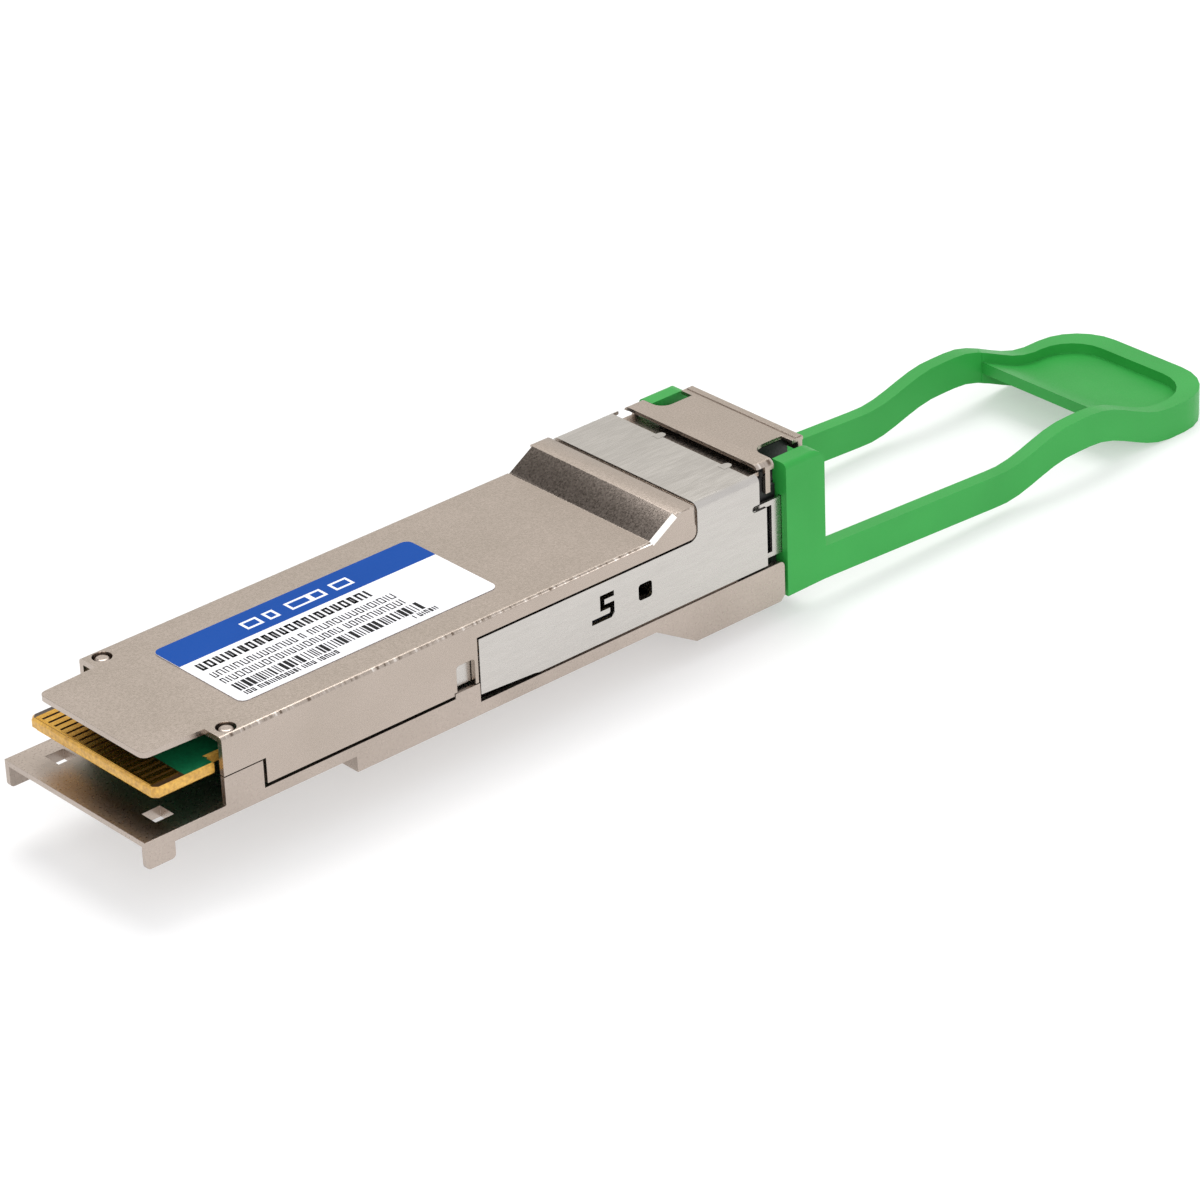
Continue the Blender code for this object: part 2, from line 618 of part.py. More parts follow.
def build_slider(parts, guides, latch):
    """Latch slider: top strap over the head, side arms to the latch pockets, ears into the tab."""
    outline = channel_outline(SLIDER_OUTER, HEAD_TOP, SLIDER_ARM_BOTTOM, SLIDER_BEND, SLIDER_SHEET)
    slider = end_outline("latch_slider", outline, (STRAP_FRONT, SLIDER_SIDE_END), parts)
    turn = (COVER_END - COVER_CORNER, COVER_SKIRT + COVER_CORNER)
    arm = [
        (SLIDER_FRONT, SLIDER_TIP_BOTTOM), (SLIDER_TIP_END, SLIDER_ARM_BOTTOM + SHELL_GAP),
        (SLIDER_TIP_END + SHEET, SLIDER_ARM_BOTTOM), (STRAP_FRONT + SHEET, SLIDER_ARM_BOTTOM),
        (STRAP_FRONT + SHEET, turn[1]),
    ]
    arm += arc(turn, COVER_CORNER + SLIDER_SEAM, 360, 270)
    arm += [(SLIDER_FRONT, SLIDER_ARM_TOP)]
    for tag, sign in mirrored_names("slider_arm"):
        sides = side_range(sign, SLIDER_INNER, SLIDER_OUTER)
        join(slider, side_outline(tag, arm, sides, guides))
    trim_slider_rear(slider, guides)
    cut_side_windows(slider, guides)
    add_strap_tabs(slider, guides)
    add_slider_ears(slider, guides)
    add_latch_fingers(slider, guides)
    for tag, sign in mirrored_names("spring_tab"):
        sides = side_range(sign, SPRING_SIDE - SPRING_DIAMETER / 2, SLIDER_INNER + SLIDER_SHEET / 2)
        stations = (SPRING_TAB_STATION - SLIDER_SHEET, SPRING_TAB_STATION)
        heights = (SPRING_HEIGHT - 0.6 * MM, SPRING_HEIGHT + 0.6 * MM)
        join(slider, box(tag, stations, sides, heights, guides))
    slider.parent = latch
    slider.matrix_parent_inverse = latch.matrix_world.inverted()
    return dress(slider, "bright_steel")


def trim_slider_rear(slider, guides):
    """Shorten the strap between its bends, step the side plates down and cut a hook in each step."""
    past = SLIDER_SIDE_END + SHEET
    strap_side = SLIDER_OUTER - SLIDER_BEND + SHELL_GAP
    cut(slider, box("strap_end", (SLIDER_STRAP_END, past), (-strap_side, strap_side),
                    (HEAD_TOP - 2 * SLIDER_SHEET, HEAD_TOP + SHEET), guides))
    hook_middle = SLIDER_STEP_HEIGHT + HOOK_HEIGHT / 2
    hook_end = SLIDER_CORNER_END + SHELL_GAP
    hook = [(hook_end, SLIDER_STEP_HEIGHT), (hook_end, SLIDER_STEP_HEIGHT + HOOK_HEIGHT)]
    hook += arc((SLIDER_CORNER_END - HOOK_DEPTH, hook_middle), HOOK_HEIGHT / 2, 90, 270)
    for tag, sign in mirrored_names("slider_step"):
        sides = side_range(sign, strap_side - SHELL_GAP, HALF_WIDTH + SHEET)
        cut(slider, box(tag, (SLIDER_CORNER_END, past), sides,
                        (SLIDER_STEP_HEIGHT, HEAD_TOP + SHEET), guides))
        cut(slider, side_outline(tag + "_hook", hook, sides, guides))


def cut_side_windows(slider, guides):
    """A cranked slot and a square window through each arm."""
    left = CRANK_START
    right = CRANK_START + CRANK_WIDTH
    low = CRANK_BOTTOM
    high = CRANK_BOTTOM + CRANK_HEIGHT
    stem = left + 0.95 * MM
    waist = (low + high) / 2 - CRANK_STROKE / 2
    slope = 0.35 * MM
    crank = [
        (stem, high), (right, high), (right, high - CRANK_STROKE), (stem + CRANK_STROKE, high - CRANK_STROKE),
        (stem + CRANK_STROKE, waist + CRANK_STROKE), (right, waist + CRANK_STROKE), (right, low + slope),
        (right - slope, low), (left, low), (left, low + CRANK_STROKE),
        (right - slope - CRANK_STROKE / 2, low + CRANK_STROKE),
        (right - CRANK_STROKE, low + slope + CRANK_STROKE / 2), (right - CRANK_STROKE, waist), (stem, waist),
    ]
    span = HALF_WIDTH + SHEET
    inner = SLIDER_INNER - SEAT_GAP
    for tag, sign in mirrored_names("crank_slot"):
        cut(slider, side_outline(tag, crank, side_range(sign, inner, span), guides))
    half = SPRING_WINDOW / 2
    window_end = SPRING_TAB_STATION - SLIDER_SHEET - SHELL_GAP / 2
    corner = 0.3 * MM
    middle = (window_end - half, SPRING_HEIGHT)
    window = []
    for turn, (along, up) in enumerate(((1, 1), (-1, 1), (-1, -1), (1, -1))):
        centre = (middle[0] + along * (half - corner), middle[1] + up * (half - corner))
        window += arc(centre, corner, 90 * turn, 90 * turn + 90, 4)
    for tag, sign in mirrored_names("spring_window"):
        cut(slider, side_outline(tag, window, side_range(sign, inner, span), guides))


def add_strap_tabs(slider, guides):
    """Two round-nosed tabs on the strap's rear edge."""
    half = STRAP_TAB_WIDTH / 2
    nose = SLIDER_STRAP_END + STRAP_TAB_REACH - half
    heights = (HEAD_TOP - SLIDER_SHEET + SEAT_GAP / 2, HEAD_TOP + SEAT_GAP / 2)
    for number, side in enumerate(STRAP_TAB_SIDES):
        points = [(SLIDER_STRAP_END - SHEET, side - half)]
        points += arc((nose, side), half, -90, 90, 8)
        points += [(SLIDER_STRAP_END - SHEET, side + half)]
        join(slider, top_outline("strap_tab_%d" % number, points, heights, guides))


def add_latch_fingers(slider, guides):
    """Stepped-in fingers in front of the arms, seen through the cover's latch windows."""
    outer = HALF_WIDTH - SHEET - ARM_GAP
    heights = (FINGER_BOTTOM, FINGER_TOP)
    bridge = (SLIDER_FRONT + SHELL_GAP, SLIDER_FRONT + SHELL_GAP + FINGER_BRIDGE)
    for tag, sign in mirrored_names("latch_finger"):
        finger = side_range(sign, outer - SLIDER_SHEET, outer)
        join(slider, box(tag, (FINGER_START, bridge[1]), finger, heights, guides))
        reach = side_range(sign, outer - SLIDER_SHEET / 2, SLIDER_INNER + SLIDER_SHEET / 2)
        inset = SEAT_GAP / 2
        join(slider, box(tag + "_bridge", (bridge[0], bridge[1] - inset), reach,
                         (FINGER_BOTTOM + inset, FINGER_TOP - inset), guides))


def ear_sides():
    """Side offsets of the slider's rear ears."""
    outer = SLIDER_INNER - 0.3 * MM
    return (outer - SLIDER_SHEET, outer)


def add_slider_ears(slider, guides):
    """Windowed, stepped-in ears that carry the pull tab, each joined to its arm by a short bridge."""
    sides = ear_sides()
    start = COVER_SHELF_END + 2 * SHELL_GAP
    inset = SEAT_GAP / 2
    for tag, sign in mirrored_names("slider_ear"):
        join(slider, box(tag, (start, EAR_END), side_range(sign, *sides), (EAR_BOTTOM, EAR_TOP), guides))
        reach = side_range(sign, sides[1] - SLIDER_SHEET / 2, SLIDER_INNER + SLIDER_SHEET / 2)
        join(slider, box(tag + "_bridge", (start + inset, EAR_WINDOW_START - 2 * SHELL_GAP), reach,
                         (EAR_BOTTOM + inset, EAR_TOP - inset), guides))
        past = side_range(sign, sides[0] - SHELL_GAP, sides[1] + SHELL_GAP)
        cut(slider, box(tag + "_window", (EAR_WINDOW_START, EAR_WINDOW_END), past,
                        (EAR_BOTTOM + EAR_RAIL, EAR_TOP - EAR_RAIL), guides))


def tab_middle(station):
    """Height of the tab's middle line: a slow droop, a rounded crest and a lower pad."""
    if station <= TAB_BLOCK_END:
        return TAB_ROOT_MIDDLE
    if station <= TAB_DROOP_END:
        share = (station - TAB_BLOCK_END) / (TAB_DROOP_END - TAB_BLOCK_END)
        return TAB_ROOT_MIDDLE + share * (TAB_DROOP_MIDDLE - TAB_ROOT_MIDDLE)
    if station <= TAB_CREST_START:
        return eased(station, TAB_DROOP_END, TAB_CREST_START, TAB_DROOP_MIDDLE, TAB_CREST_MIDDLE)
    if station <= TAB_CREST_END:
        return TAB_CREST_MIDDLE
    if station <= TAB_PAD_LEVEL:
        return eased(station, TAB_CREST_END, TAB_PAD_LEVEL, TAB_CREST_MIDDLE, TAB_PAD_MIDDLE)
    return TAB_PAD_MIDDLE


def eased(station, start, end, first, last):
    share = (station - start) / (end - start)
    return first + (last - first) * (1 - math.cos(math.pi * share)) / 2


def wave_outline(start, end, below, above, steps):
    """A ribbon that follows the tab's middle line, from below to above it."""
    stations = [start + (end - start) * step / steps for step in range(steps + 1)]
    top = [(station, tab_middle(station) + above) for station in stations]
    bottom = [(station, tab_middle(station) + below) for station in reversed(stations)]
    return top + bottom


def rounded_end(half_width, start, end, radius, steps=6):
    """A plan outline with square corners at its start and rounded corners at its end."""
    points = [(start, -half_width)]
    points += arc((end - radius, radius - half_width), radius, 270, 360, steps)
    points += arc((end - radius, half_width - radius), radius, 0, 90, steps)
    points += [(start, half_width)]
    return points


def build_tab(parts, guides, latch):
    """Moulded pull tab: two root blocks, two waved arms and a webbed finger pad with a rim."""
    half = TAB_ARM_HEIGHT / 2
    span = HALF_WIDTH
    inner = span - TAB_THICKNESS
    wave = wave_outline(TAB_BLOCK_END - SHEET, OVERALL_LENGTH + SHEET, -half, half, 34)
    tab = side_outline("pull_tab", wave, (-span - SHEET, span + SHEET), parts)
    plan = rounded_end(span, TAB_BLOCK_START, OVERALL_LENGTH, TAB_CORNER)
    keep_inside(tab, top_outline("tab_plan", plan, (-3 * TAB_ARM_HEIGHT, HEAD_TOP + SHEET), guides))
    lowest = -3 * TAB_ARM_HEIGHT
    cut(tab, box("tab_loop", (TAB_BLOCK_START - SHEET, TAB_WEB_START), (-inner, inner),
                 (lowest, 2 * TAB_ARM_HEIGHT), guides))
    recess_end = OVERALL_LENGTH - TAB_END_RIM
    recess_corner = TAB_CORNER - TAB_END_RIM / 2
    for tag, low, high in (("pad_recess_top", TAB_WEB_THICKNESS / 2, 2 * half),
                           ("pad_recess_bottom", -2 * half, -TAB_WEB_THICKNESS / 2)):
        ribbon = wave_outline(TAB_WEB_START - 1.0 * MM, recess_end + SHEET, low, high, 14)
        cutter = side_outline(tag, ribbon, (-span, span), guides)
        outline = rounded_end(inner - SEAT_GAP, TAB_WEB_START - 2.0 * MM, recess_end, recess_corner)
        keep_inside(cutter, top_outline(tag + "_plan", outline, (lowest, 3 * half), guides))
        cut(tab, cutter)
    corner = 1.3 * MM
    block = [(TAB_BLOCK_START, TAB_BLOCK_BOTTOM), (TAB_BLOCK_END, TAB_ROOT_MIDDLE - half)]
    block += arc((TAB_BLOCK_END - corner, HEAD_TOP - corner), corner, 0, 90, 5)
    block += [(TAB_BLOCK_START, HEAD_TOP)]
    for tag, sign in mirrored_names("tab_block"):
        sides = side_range(sign, span - TAB_BLOCK_THICKNESS, span)
        root = side_outline(tag, block, sides, guides)
        join(tab, root)
        shoulder = place(0.0, sign * (span - TAB_BLOCK_ROUND), HEAD_TOP - TAB_BLOCK_ROUND)
        cut(tab, shoulder_cutter(tag + "_round", shoulder, sign, guides))
    ears = ear_sides()
    for tag, sign in mirrored_names("ear_pocket"):
        sides = side_range(sign, ears[0] - SEAT_GAP, ears[1] + SEAT_GAP)
        cut(tab, box(tag, (TAB_BLOCK_START - SHEET, EAR_END + SEAT_GAP), sides,
                     (EAR_BOTTOM - SEAT_GAP, EAR_TOP + SEAT_GAP), guides))
    tab.parent = latch
    tab.matrix_parent_inverse = latch.matrix_world.inverted()
    return dress(tab, "green_moulding")


def shoulder_cutter(name, centre, sign, guides):
    """What is cut from a root block's outer top edge to round it."""
    radius = TAB_BLOCK_ROUND
    past = radius + SHEET
    side = centre.y
    height = centre.z - BODY_UNDERSIDE
    points = [(side + sign * x, height + z) for x, z in arc((0.0, 0.0), radius, 0, 90, 5)]
    points += [(side, height + past), (side + sign * past, height + past), (side + sign * past, height)]
    return end_outline(name, points, (TAB_BLOCK_START - SHEET, TAB_BLOCK_END + SHEET), guides)


def build_springs(parts):
    """Two return springs, each between the slider's tab and the receptacle housing."""
    start = SPRING_TAB_STATION + SEAT_GAP + SPRING_WIRE / 2
    end = HOUSING_START - SEAT_GAP - SPRING_WIRE / 2
    radius = (SPRING_DIAMETER - SPRING_WIRE) / 2
    steps_per_turn = 12
    total = SPRING_TURNS * steps_per_turn
    for name, sign in mirrored_names("return_spring"):
        curve = bpy.data.curves.new(name, "CURVE")
        curve.dimensions = "3D"
        curve.bevel_depth = SPRING_WIRE / 2
        curve.bevel_resolution = 2
        curve.use_fill_caps = True
        spline = curve.splines.new("POLY")
        spline.points.add(total)
        middle = place(0.0, sign * SPRING_SIDE, SPRING_HEIGHT)
        for step, point in enumerate(spline.points):
            turn = 2 * math.pi * step / steps_per_turn
            along = start + (end - start) * step / total
            point.co = (along, radius * math.cos(turn), radius * math.sin(turn), 1.0)
        made = bpy.data.objects.new(name + "_path", curve)
        parts.objects.link(made)
        made.location = middle
        spring = curve_to_mesh(made, name, parts)
        smooth(spring, 60)
        dress(spring, "spring_steel")


def build_housing(parts, guides):
    """Duplex receptacle housing with two keyed plug ports and seats for the optical barrels."""
    half = HOUSING_WIDTH / 2
    neck = HOUSING_NECK_WIDTH / 2
    bottom = SHEET + SHELL_GAP - HEAD_DROP
    plan = [
        (HOUSING_START, -half), (HOUSING_WAIST, -half), (HOUSING_WAIST, -neck), (HOUSING_END, -neck),
        (HOUSING_END, neck), (HOUSING_WAIST, neck), (HOUSING_WAIST, half), (HOUSING_START, half),
    ]
    top = plate_underside() - SEAT_GAP
    housing = top_outline("receptacle_housing", plan, (bottom, top), parts)
    span = HALF_WIDTH
    cut(housing, box("housing_front_cut", (HOUSING_START - SHEET, COVER_SHELF_END + SHELL_GAP), (-span, span),
                     (HOUSING_LOW_TOP, top + SHEET), guides))
    cut(housing, box("housing_step_cut", (HOUSING_START, HOUSING_STEP), (-span, span),
                     (HOUSING_MID_TOP, top + SHEET), guides))
    past = HOUSING_END + SHEET
    keep = PORT_PITCH / 2 + PORT_WIDTH / 2 + SHELL_GAP
    for tag, sign in mirrored_names("housing_side_cut"):
        cut(housing, box(tag, (HOUSING_STEP - SHELL_GAP, past), side_range(sign, keep, span),
                         (HOUSING_SIDE_TOP, top + SHEET), guides))
    for tag, sign in mirrored_names("port"):
        side = sign * PORT_PITCH / 2
        sides = (side - PORT_WIDTH / 2, side + PORT_WIDTH / 2)
        heights = (PORT_AXIS - PORT_HEIGHT / 2, PORT_AXIS + PORT_HEIGHT / 2)
        cut(housing, box(tag, (HOUSING_END - PORT_DEPTH, past), sides, heights, guides))
        sides = (side - KEYWAY_WIDTH / 2, side + KEYWAY_WIDTH / 2)
        heights = (PORT_AXIS, PORT_AXIS + PORT_HEIGHT / 2 + KEYWAY_HEIGHT)
        cut(housing, box(tag + "_keyway", (HOUSING_END - KEYWAY_DEPTH, past), sides, heights, guides))
        start = place(HOUSING_START - SHEET, side, PORT_AXIS)
        cut(housing, rod(tag + "_seat", start, (1, 0, 0), BARREL_DIAMETER + 2 * SEAT_GAP,
                         HOUSING_END - PORT_DEPTH - HOUSING_START + 2 * SHEET, guides))
    for tag, sign in mirrored_names("screw_hole"):
        start = place(SCREW_STATION, sign * SCREW_SIDE, bottom - SHEET)
        cut(housing, rod(tag, start, (0, 0, 1), SCREW_DIAMETER + 2 * SEAT_GAP,
                         SCREW_LENGTH + SHELL_GAP, guides, 20))
    return dress(housing, "dark_moulding")


def plate_underside():
    return HEAD_TOP + PLATE_GAP


def build_plate(parts, guides):
    """Retainer plate on the head: folded legs at the front, side notches and a turned-down tail."""
    top = plate_underside() + PLATE_SHEET
    half = PLATE_WIDTH / 2
    outline = channel_outline(half, top, PLATE_LEG_BOTTOM, PLATE_BEND, PLATE_SHEET)
    plate = end_outline("retainer_plate", outline, (PLATE_FRONT, PLATE_END), parts)
    roof = top - PLATE_SHEET
    for tag, sign in mirrored_names("plate_side_rear"):
        sides = side_range(sign, half - PLATE_BEND, half + SHEET)
        cut(plate, box(tag, (PLATE_LEG_END, PLATE_END + SHEET), sides,
                       (PLATE_LEG_BOTTOM - SHEET, roof - SHEET), guides))
        cut(plate, box(tag + "_front", (PLATE_FRONT - SHEET, PLATE_LEG_START), sides,
                       (PLATE_LEG_BOTTOM - SHEET, PLATE_LIP_BOTTOM), guides))
    notch_half = PLATE_NOTCH_WIDTH / 2
    notch_round = 1.2 * MM
    for tag, sign in mirrored_names("plate_notch"):
        inner_corner = (PLATE_NOTCH_START + notch_round, sign * (notch_half + notch_round))
        points = [(PLATE_NOTCH_START, sign * (half + SHEET)), (PLATE_NOTCH_END, sign * (half + SHEET)),
                  (PLATE_NOTCH_END, sign * notch_half)]
        points += arc(inner_corner, notch_round, sign * 270, sign * 180, 5)
        cut(plate, top_outline(tag, points, (PLATE_LEG_BOTTOM - SHEET, top + SHEET), guides))
    tail = PLATE_TAIL_WIDTH / 2
    for tag, sign in mirrored_names("plate_tail_trim"):
        sides = side_range(sign, tail, half + SHEET)
        cut(plate, box(tag, (PLATE_NOTCH_END - SHELL_GAP, PLATE_END + SHEET), sides,
                       (PLATE_LEG_BOTTOM - SHEET, top + SHEET), guides))
    tail_start = HOUSING_END + SEAT_GAP
    tail_lip = 0.9 * MM
    lip = tail - SEAT_GAP
    join(plate, box("plate_tail", (tail_start, PLATE_END - SEAT_GAP), (-lip, lip),
                    (roof - tail_lip, roof + PLATE_SHEET / 2), guides))
    hem = tail - SHELL_GAP
    join(plate, box("plate_hem", (PLATE_END - PLATE_HEM_LENGTH, PLATE_END - SHELL_GAP), (-hem, hem),
                    (roof + PLATE_SHEET / 3, top + PLATE_HEM), guides))
    return dress(plate, "nickel_cover")


def build_barrels(parts):
    """Optical barrels and the fibre stubs seated in them."""
    for name, sign in mirrored_names("optical_barrel"):
        middle = place(BARREL_START, sign * PORT_PITCH / 2, PORT_AXIS)
        bore = FERRULE_BORE / 2
        outer = BARREL_DIAMETER / 2
        flange = BARREL_FLANGE / 2
        length = BARREL_END - BARREL_START
        flange_start = 0.8 * MM
        flange_end = HOUSING_START - BARREL_START - SHELL_GAP
        chamfer = 0.2 * MM
        profile = [
            (bore, length), (outer - chamfer, length), (outer, length - chamfer), (outer, flange_end),
            (flange, flange_end), (flange, flange_start), (outer, flange_start), (outer, 0.0),
            (bore, 0.0),
        ]
        bm = bmesh.new()
        ring = [bm.verts.new((radius, 0.0, along)) for radius, along in profile]
        for first, second in zip(ring, ring[1:] + ring[:1]):
            bm.edges.new((first, second))
        made = link(name, mesh_from(bm, name), parts)
        screw = made.modifiers.new("turned", "SCREW")
        screw.steps = 24
        screw.render_steps = 24
        screw.use_merge_vertices = True
        screw.merge_threshold = 0.00001
        made.rotation_euler = (0, math.radians(90), 0)
        made.location = middle
        smooth(made)
        dress(made, "optic_case")
    for name, sign in mirrored_names("fibre_stub"):
        start = place(BARREL_START + SEAT_GAP, sign * PORT_PITCH / 2, PORT_AXIS)
        stub = rod(name, start, (1, 0, 0), STUB_DIAMETER, STUB_END - BARREL_START, parts)
        dress(stub, "ceramic")


def build_optics(parts, guides):
    """Transmit and receive optical packages with their flex circuits to the board."""
    for name, sign in (("transmit_optics", 1), ("receive_optics", -1)):
        side = sign * PORT_PITCH / 2
        sides = (side - OPTICS_WIDTH / 2, side + OPTICS_WIDTH / 2)
        case = box(name, (OPTICS_START, OPTICS_END), sides, (OPTICS_BOTTOM, OPTICS_TOP), parts)
        lid = 0.6 * MM
        rim = box(name + "_lid_step", (OPTICS_START - lid, OPTICS_START + 2 * lid),
                  (sides[0] - lid, sides[1] + lid), (OPTICS_TOP - lid, OPTICS_TOP + lid), guides)
        cut(case, rim)
        dress(case, "optic_case")
    board_seat = BOARD_TOP + SEAT_GAP
    entry = OPTICS_BOTTOM + 2.2 * MM
    for name, sign in (("transmit_flex", 1), ("receive_flex", -1)):
        side = sign * PORT_PITCH / 2
        outline = flex_outline(BOARD_END - 3.0 * MM, OPTICS_START - SEAT_GAP, board_seat, entry)
        sides = (side - FLEX_WIDTH / 2, side + FLEX_WIDTH / 2)
        dress(side_outline(name, outline, sides, parts), "flex_film")


def flex_outline(start, end, board_seat, entry):
    """A ribbon that lies on the board, then bends down to the optical package."""
    steps = 8
    flat = BOARD_END + 0.3 * MM
    middle = [(start, board_seat), (flat, board_seat)]
    for step in range(1, steps + 1):
        share = step / steps
        along = flat + (end - flat) * share
        middle.append((along, eased(along, flat, end, board_seat, entry)))
    top = [(along, height + FLEX_THICKNESS) for along, height in middle]
    return middle + top[::-1]


def board_outline():
    """Plan of the board: chamfered paddle, waist that clears the locating pins, then full width."""
    paddle = PADDLE_WIDTH / 2
    waist = BOARD_WAIST_WIDTH / 2
    full = BOARD_WIDTH / 2
    half = [
        (BOARD_START, paddle - PADDLE_CHAMFER), (BOARD_START + PADDLE_CHAMFER, paddle), (PADDLE_END, paddle),
        (PADDLE_END, waist), (BOARD_WAIST_END, waist), (BOARD_WAIST_END, full), (BOARD_END, full),
    ]
    return half + [(station, -side) for station, side in reversed(half)]


def build_board(parts, guides):
    """Main board with its edge contacts above and below."""
    bottom = BOARD_TOP - BOARD_THICKNESS
    board = top_outline("main_board", board_outline(), (bottom, BOARD_TOP), parts)
    bevel(board, 0.18 * MM, 1, 60)
    dress(board, "board_laminate")
    for name, low in (("edge_contacts_top", BOARD_TOP + SEAT_GAP / 2),
                      ("edge_contacts_bottom", bottom - SEAT_GAP / 2 - CONTACT_THICKNESS)):
        dress(top_outline(name, contact_comb(), (low, low + CONTACT_THICKNESS), parts), "gold_plate")


def contact_comb():
    """A comb: a plated bar along the card's front edge with one tooth for each contact."""
    reach = (CONTACT_COUNT - 1) * CONTACT_PITCH / 2 + CONTACT_WIDTH / 2
    points = [(CONTACT_START, -reach)]
    for number in range(CONTACT_COUNT):
        side = (number - (CONTACT_COUNT - 1) / 2) * CONTACT_PITCH
        low = side - CONTACT_WIDTH / 2
        high = side + CONTACT_WIDTH / 2
        if number:
            points.append((CONTACT_START + CONTACT_BAR, low))
        points.append((CONTACT_START + CONTACT_LENGTH, low))
        points.append((CONTACT_START + CONTACT_LENGTH, high))
        if number < CONTACT_COUNT - 1:
            points.append((CONTACT_START + CONTACT_BAR, high))
    points.append((CONTACT_START, reach))
    return points


def build_components(parts):
    """Chips and passives on the board: name, station, side, length, width, height, slot."""
    rows = (
        ("laser_driver_chip", 36.0, 3.2, 4.0, 4.0, 0.9, "chip_resin"),
        ("receiver_amp_chip", 36.0, -3.2, 4.0, 4.0, 0.9, "chip_resin"),
        ("retimer_chip", 28.0, 0.0, 6.0, 6.0, 0.9, "chip_resin"),
        ("power_converter_chip", 15.5, 4.4, 3.0, 3.0, 0.8, "chip_resin"),
        ("power_inductor", 19.8, 4.4, 3.0, 3.0, 1.2, "ferrite"),
        ("clock_crystal", 19.8, -4.4, 3.2, 2.5, 0.8, "optic_case"),
        ("tank_capacitor_near", 15.0, -5.6, 2.0, 1.25, 0.9, "ceramic"),
        ("tank_capacitor_far", 15.0, -3.4, 2.0, 1.25, 0.9, "ceramic"),
    )
    for name, station, side, length, width, height, slot in rows:
        low = BOARD_TOP + SEAT_GAP
        stations = ((station - length / 2) * MM, (station + length / 2) * MM)
        sides = ((side - width / 2) * MM, (side + width / 2) * MM)
        chip = box(name, stations, sides, (low, low + height * MM), parts)
        bevel(chip, 0.08 * MM, 1)
        dress(chip, slot)
    side = 2.6 * MM
    top = BOARD_TOP - BOARD_THICKNESS - SEAT_GAP
    controller = box("microcontroller_chip", (30.0 * MM, 35.0 * MM), (-side, side),
                     (top - 0.9 * MM, top), parts)
    bevel(controller, 0.08 * MM, 1)
    dress(controller, "chip_resin")


def build_thermal_and_seal(parts):
    """Gap pads to the shells and the conductive gasket over the receptacle housing."""
    roof = BODY_HEIGHT - SHEET - SEAT_GAP
    chip_top = BOARD_TOP + 2 * SEAT_GAP + 0.9 * MM
    pad = box("chip_thermal_pad", (25.2 * MM, 38.2 * MM), (-5.4 * MM, 5.4 * MM), (chip_top, roof), parts)
    dress(pad, "gap_pad")
    reach = PORT_PITCH / 2 + OPTICS_WIDTH / 2 - SHEET
    low_pad = box("optics_thermal_pad", (OPTICS_START + SHEET, RAMP_START - SHEET), (-reach, reach),
                  (SHEET + SEAT_GAP, OPTICS_BOTTOM - SEAT_GAP), parts)
    dress(low_pad, "gap_pad")
    shelf_bottom = HEAD_TOP - SLIDER_SHEET - SHELL_GAP - SHEET
    half = inner_wall_sides()[0] - SHELL_GAP * 2
    seal = box("shield_gasket", (60.0 * MM, 62.6 * MM), (-half, half),
               (HOUSING_LOW_TOP + SEAT_GAP, shelf_bottom - SEAT_GAP), parts)
    bevel(seal, 0.1 * MM, 2)
    dress(seal, "gasket_foam")


def build_fasteners(parts, guides):
    """Locating pins at the front and shell screws under the head."""
    for name, sign in mirrored_names("locating_pin"):
        start = place(PIN_STATION, sign * PIN_SIDE, TONGUE_HEIGHT + SEAT_GAP)
        length = BODY_HEIGHT - 0.08 * MM - TONGUE_HEIGHT - SEAT_GAP
        pin = rod(name, start, (0, 0, 1), PIN_DIAMETER, length, parts, 20)
        bevel(pin, PIN_DOME, 3)
        dress(pin, "bright_steel")
    for name, sign in mirrored_names("shell_screw"):
        start = place(SCREW_STATION, sign * SCREW_SIDE, SEAT_GAP / 2 - HEAD_DROP)
        screw = rod(name, start, (0, 0, 1), SCREW_HEAD, SCREW_HEAD_HEIGHT, parts, 20, SCREW_DIAMETER)
        shank = start + Vector((0, 0, SCREW_HEAD_HEIGHT / 2))
        join(screw, rod(name + "_shank", shank, (0, 0, 1), 0.98 * SCREW_DIAMETER,
                        SCREW_LENGTH - SHEET, guides, 20))
        side = sign * SCREW_SIDE
        depth = (-HEAD_DROP - SHEET, 0.25 * MM - HEAD_DROP)
        long = 0.75 * MM
        short = 0.175 * MM
        for tag, along, across in (("_drive_x", long, short), ("_drive_y", short, long)):
            cut(screw, box(name + tag, (SCREW_STATION - along, SCREW_STATION + along),
                           (side - across, side + across), depth, guides))
        dress(screw, "spring_steel")


def build_label(parts):
    """Thin rectangular label with rounded corners on the cover."""
    corner = 0.7 * MM
    half = LABEL_WIDTH / 2
    end = LABEL_START + LABEL_LENGTH
    points = arc((LABEL_START + corner, corner - half), corner, 180, 270, 4)
    points += arc((end - corner, corner - half), corner, 270, 360, 4)
    points += arc((end - corner, half - corner), corner, 0, 90, 4)
    points += arc((LABEL_START + corner, half - corner), corner, 90, 180, 4)
    points = [(station, side + LABEL_OFFSET) for station, side in points]
    low = BODY_HEIGHT + SEAT_GAP / 2
    dress(top_outline("product_label", points, (low, low + LABEL_THICKNESS), parts), "label_film")


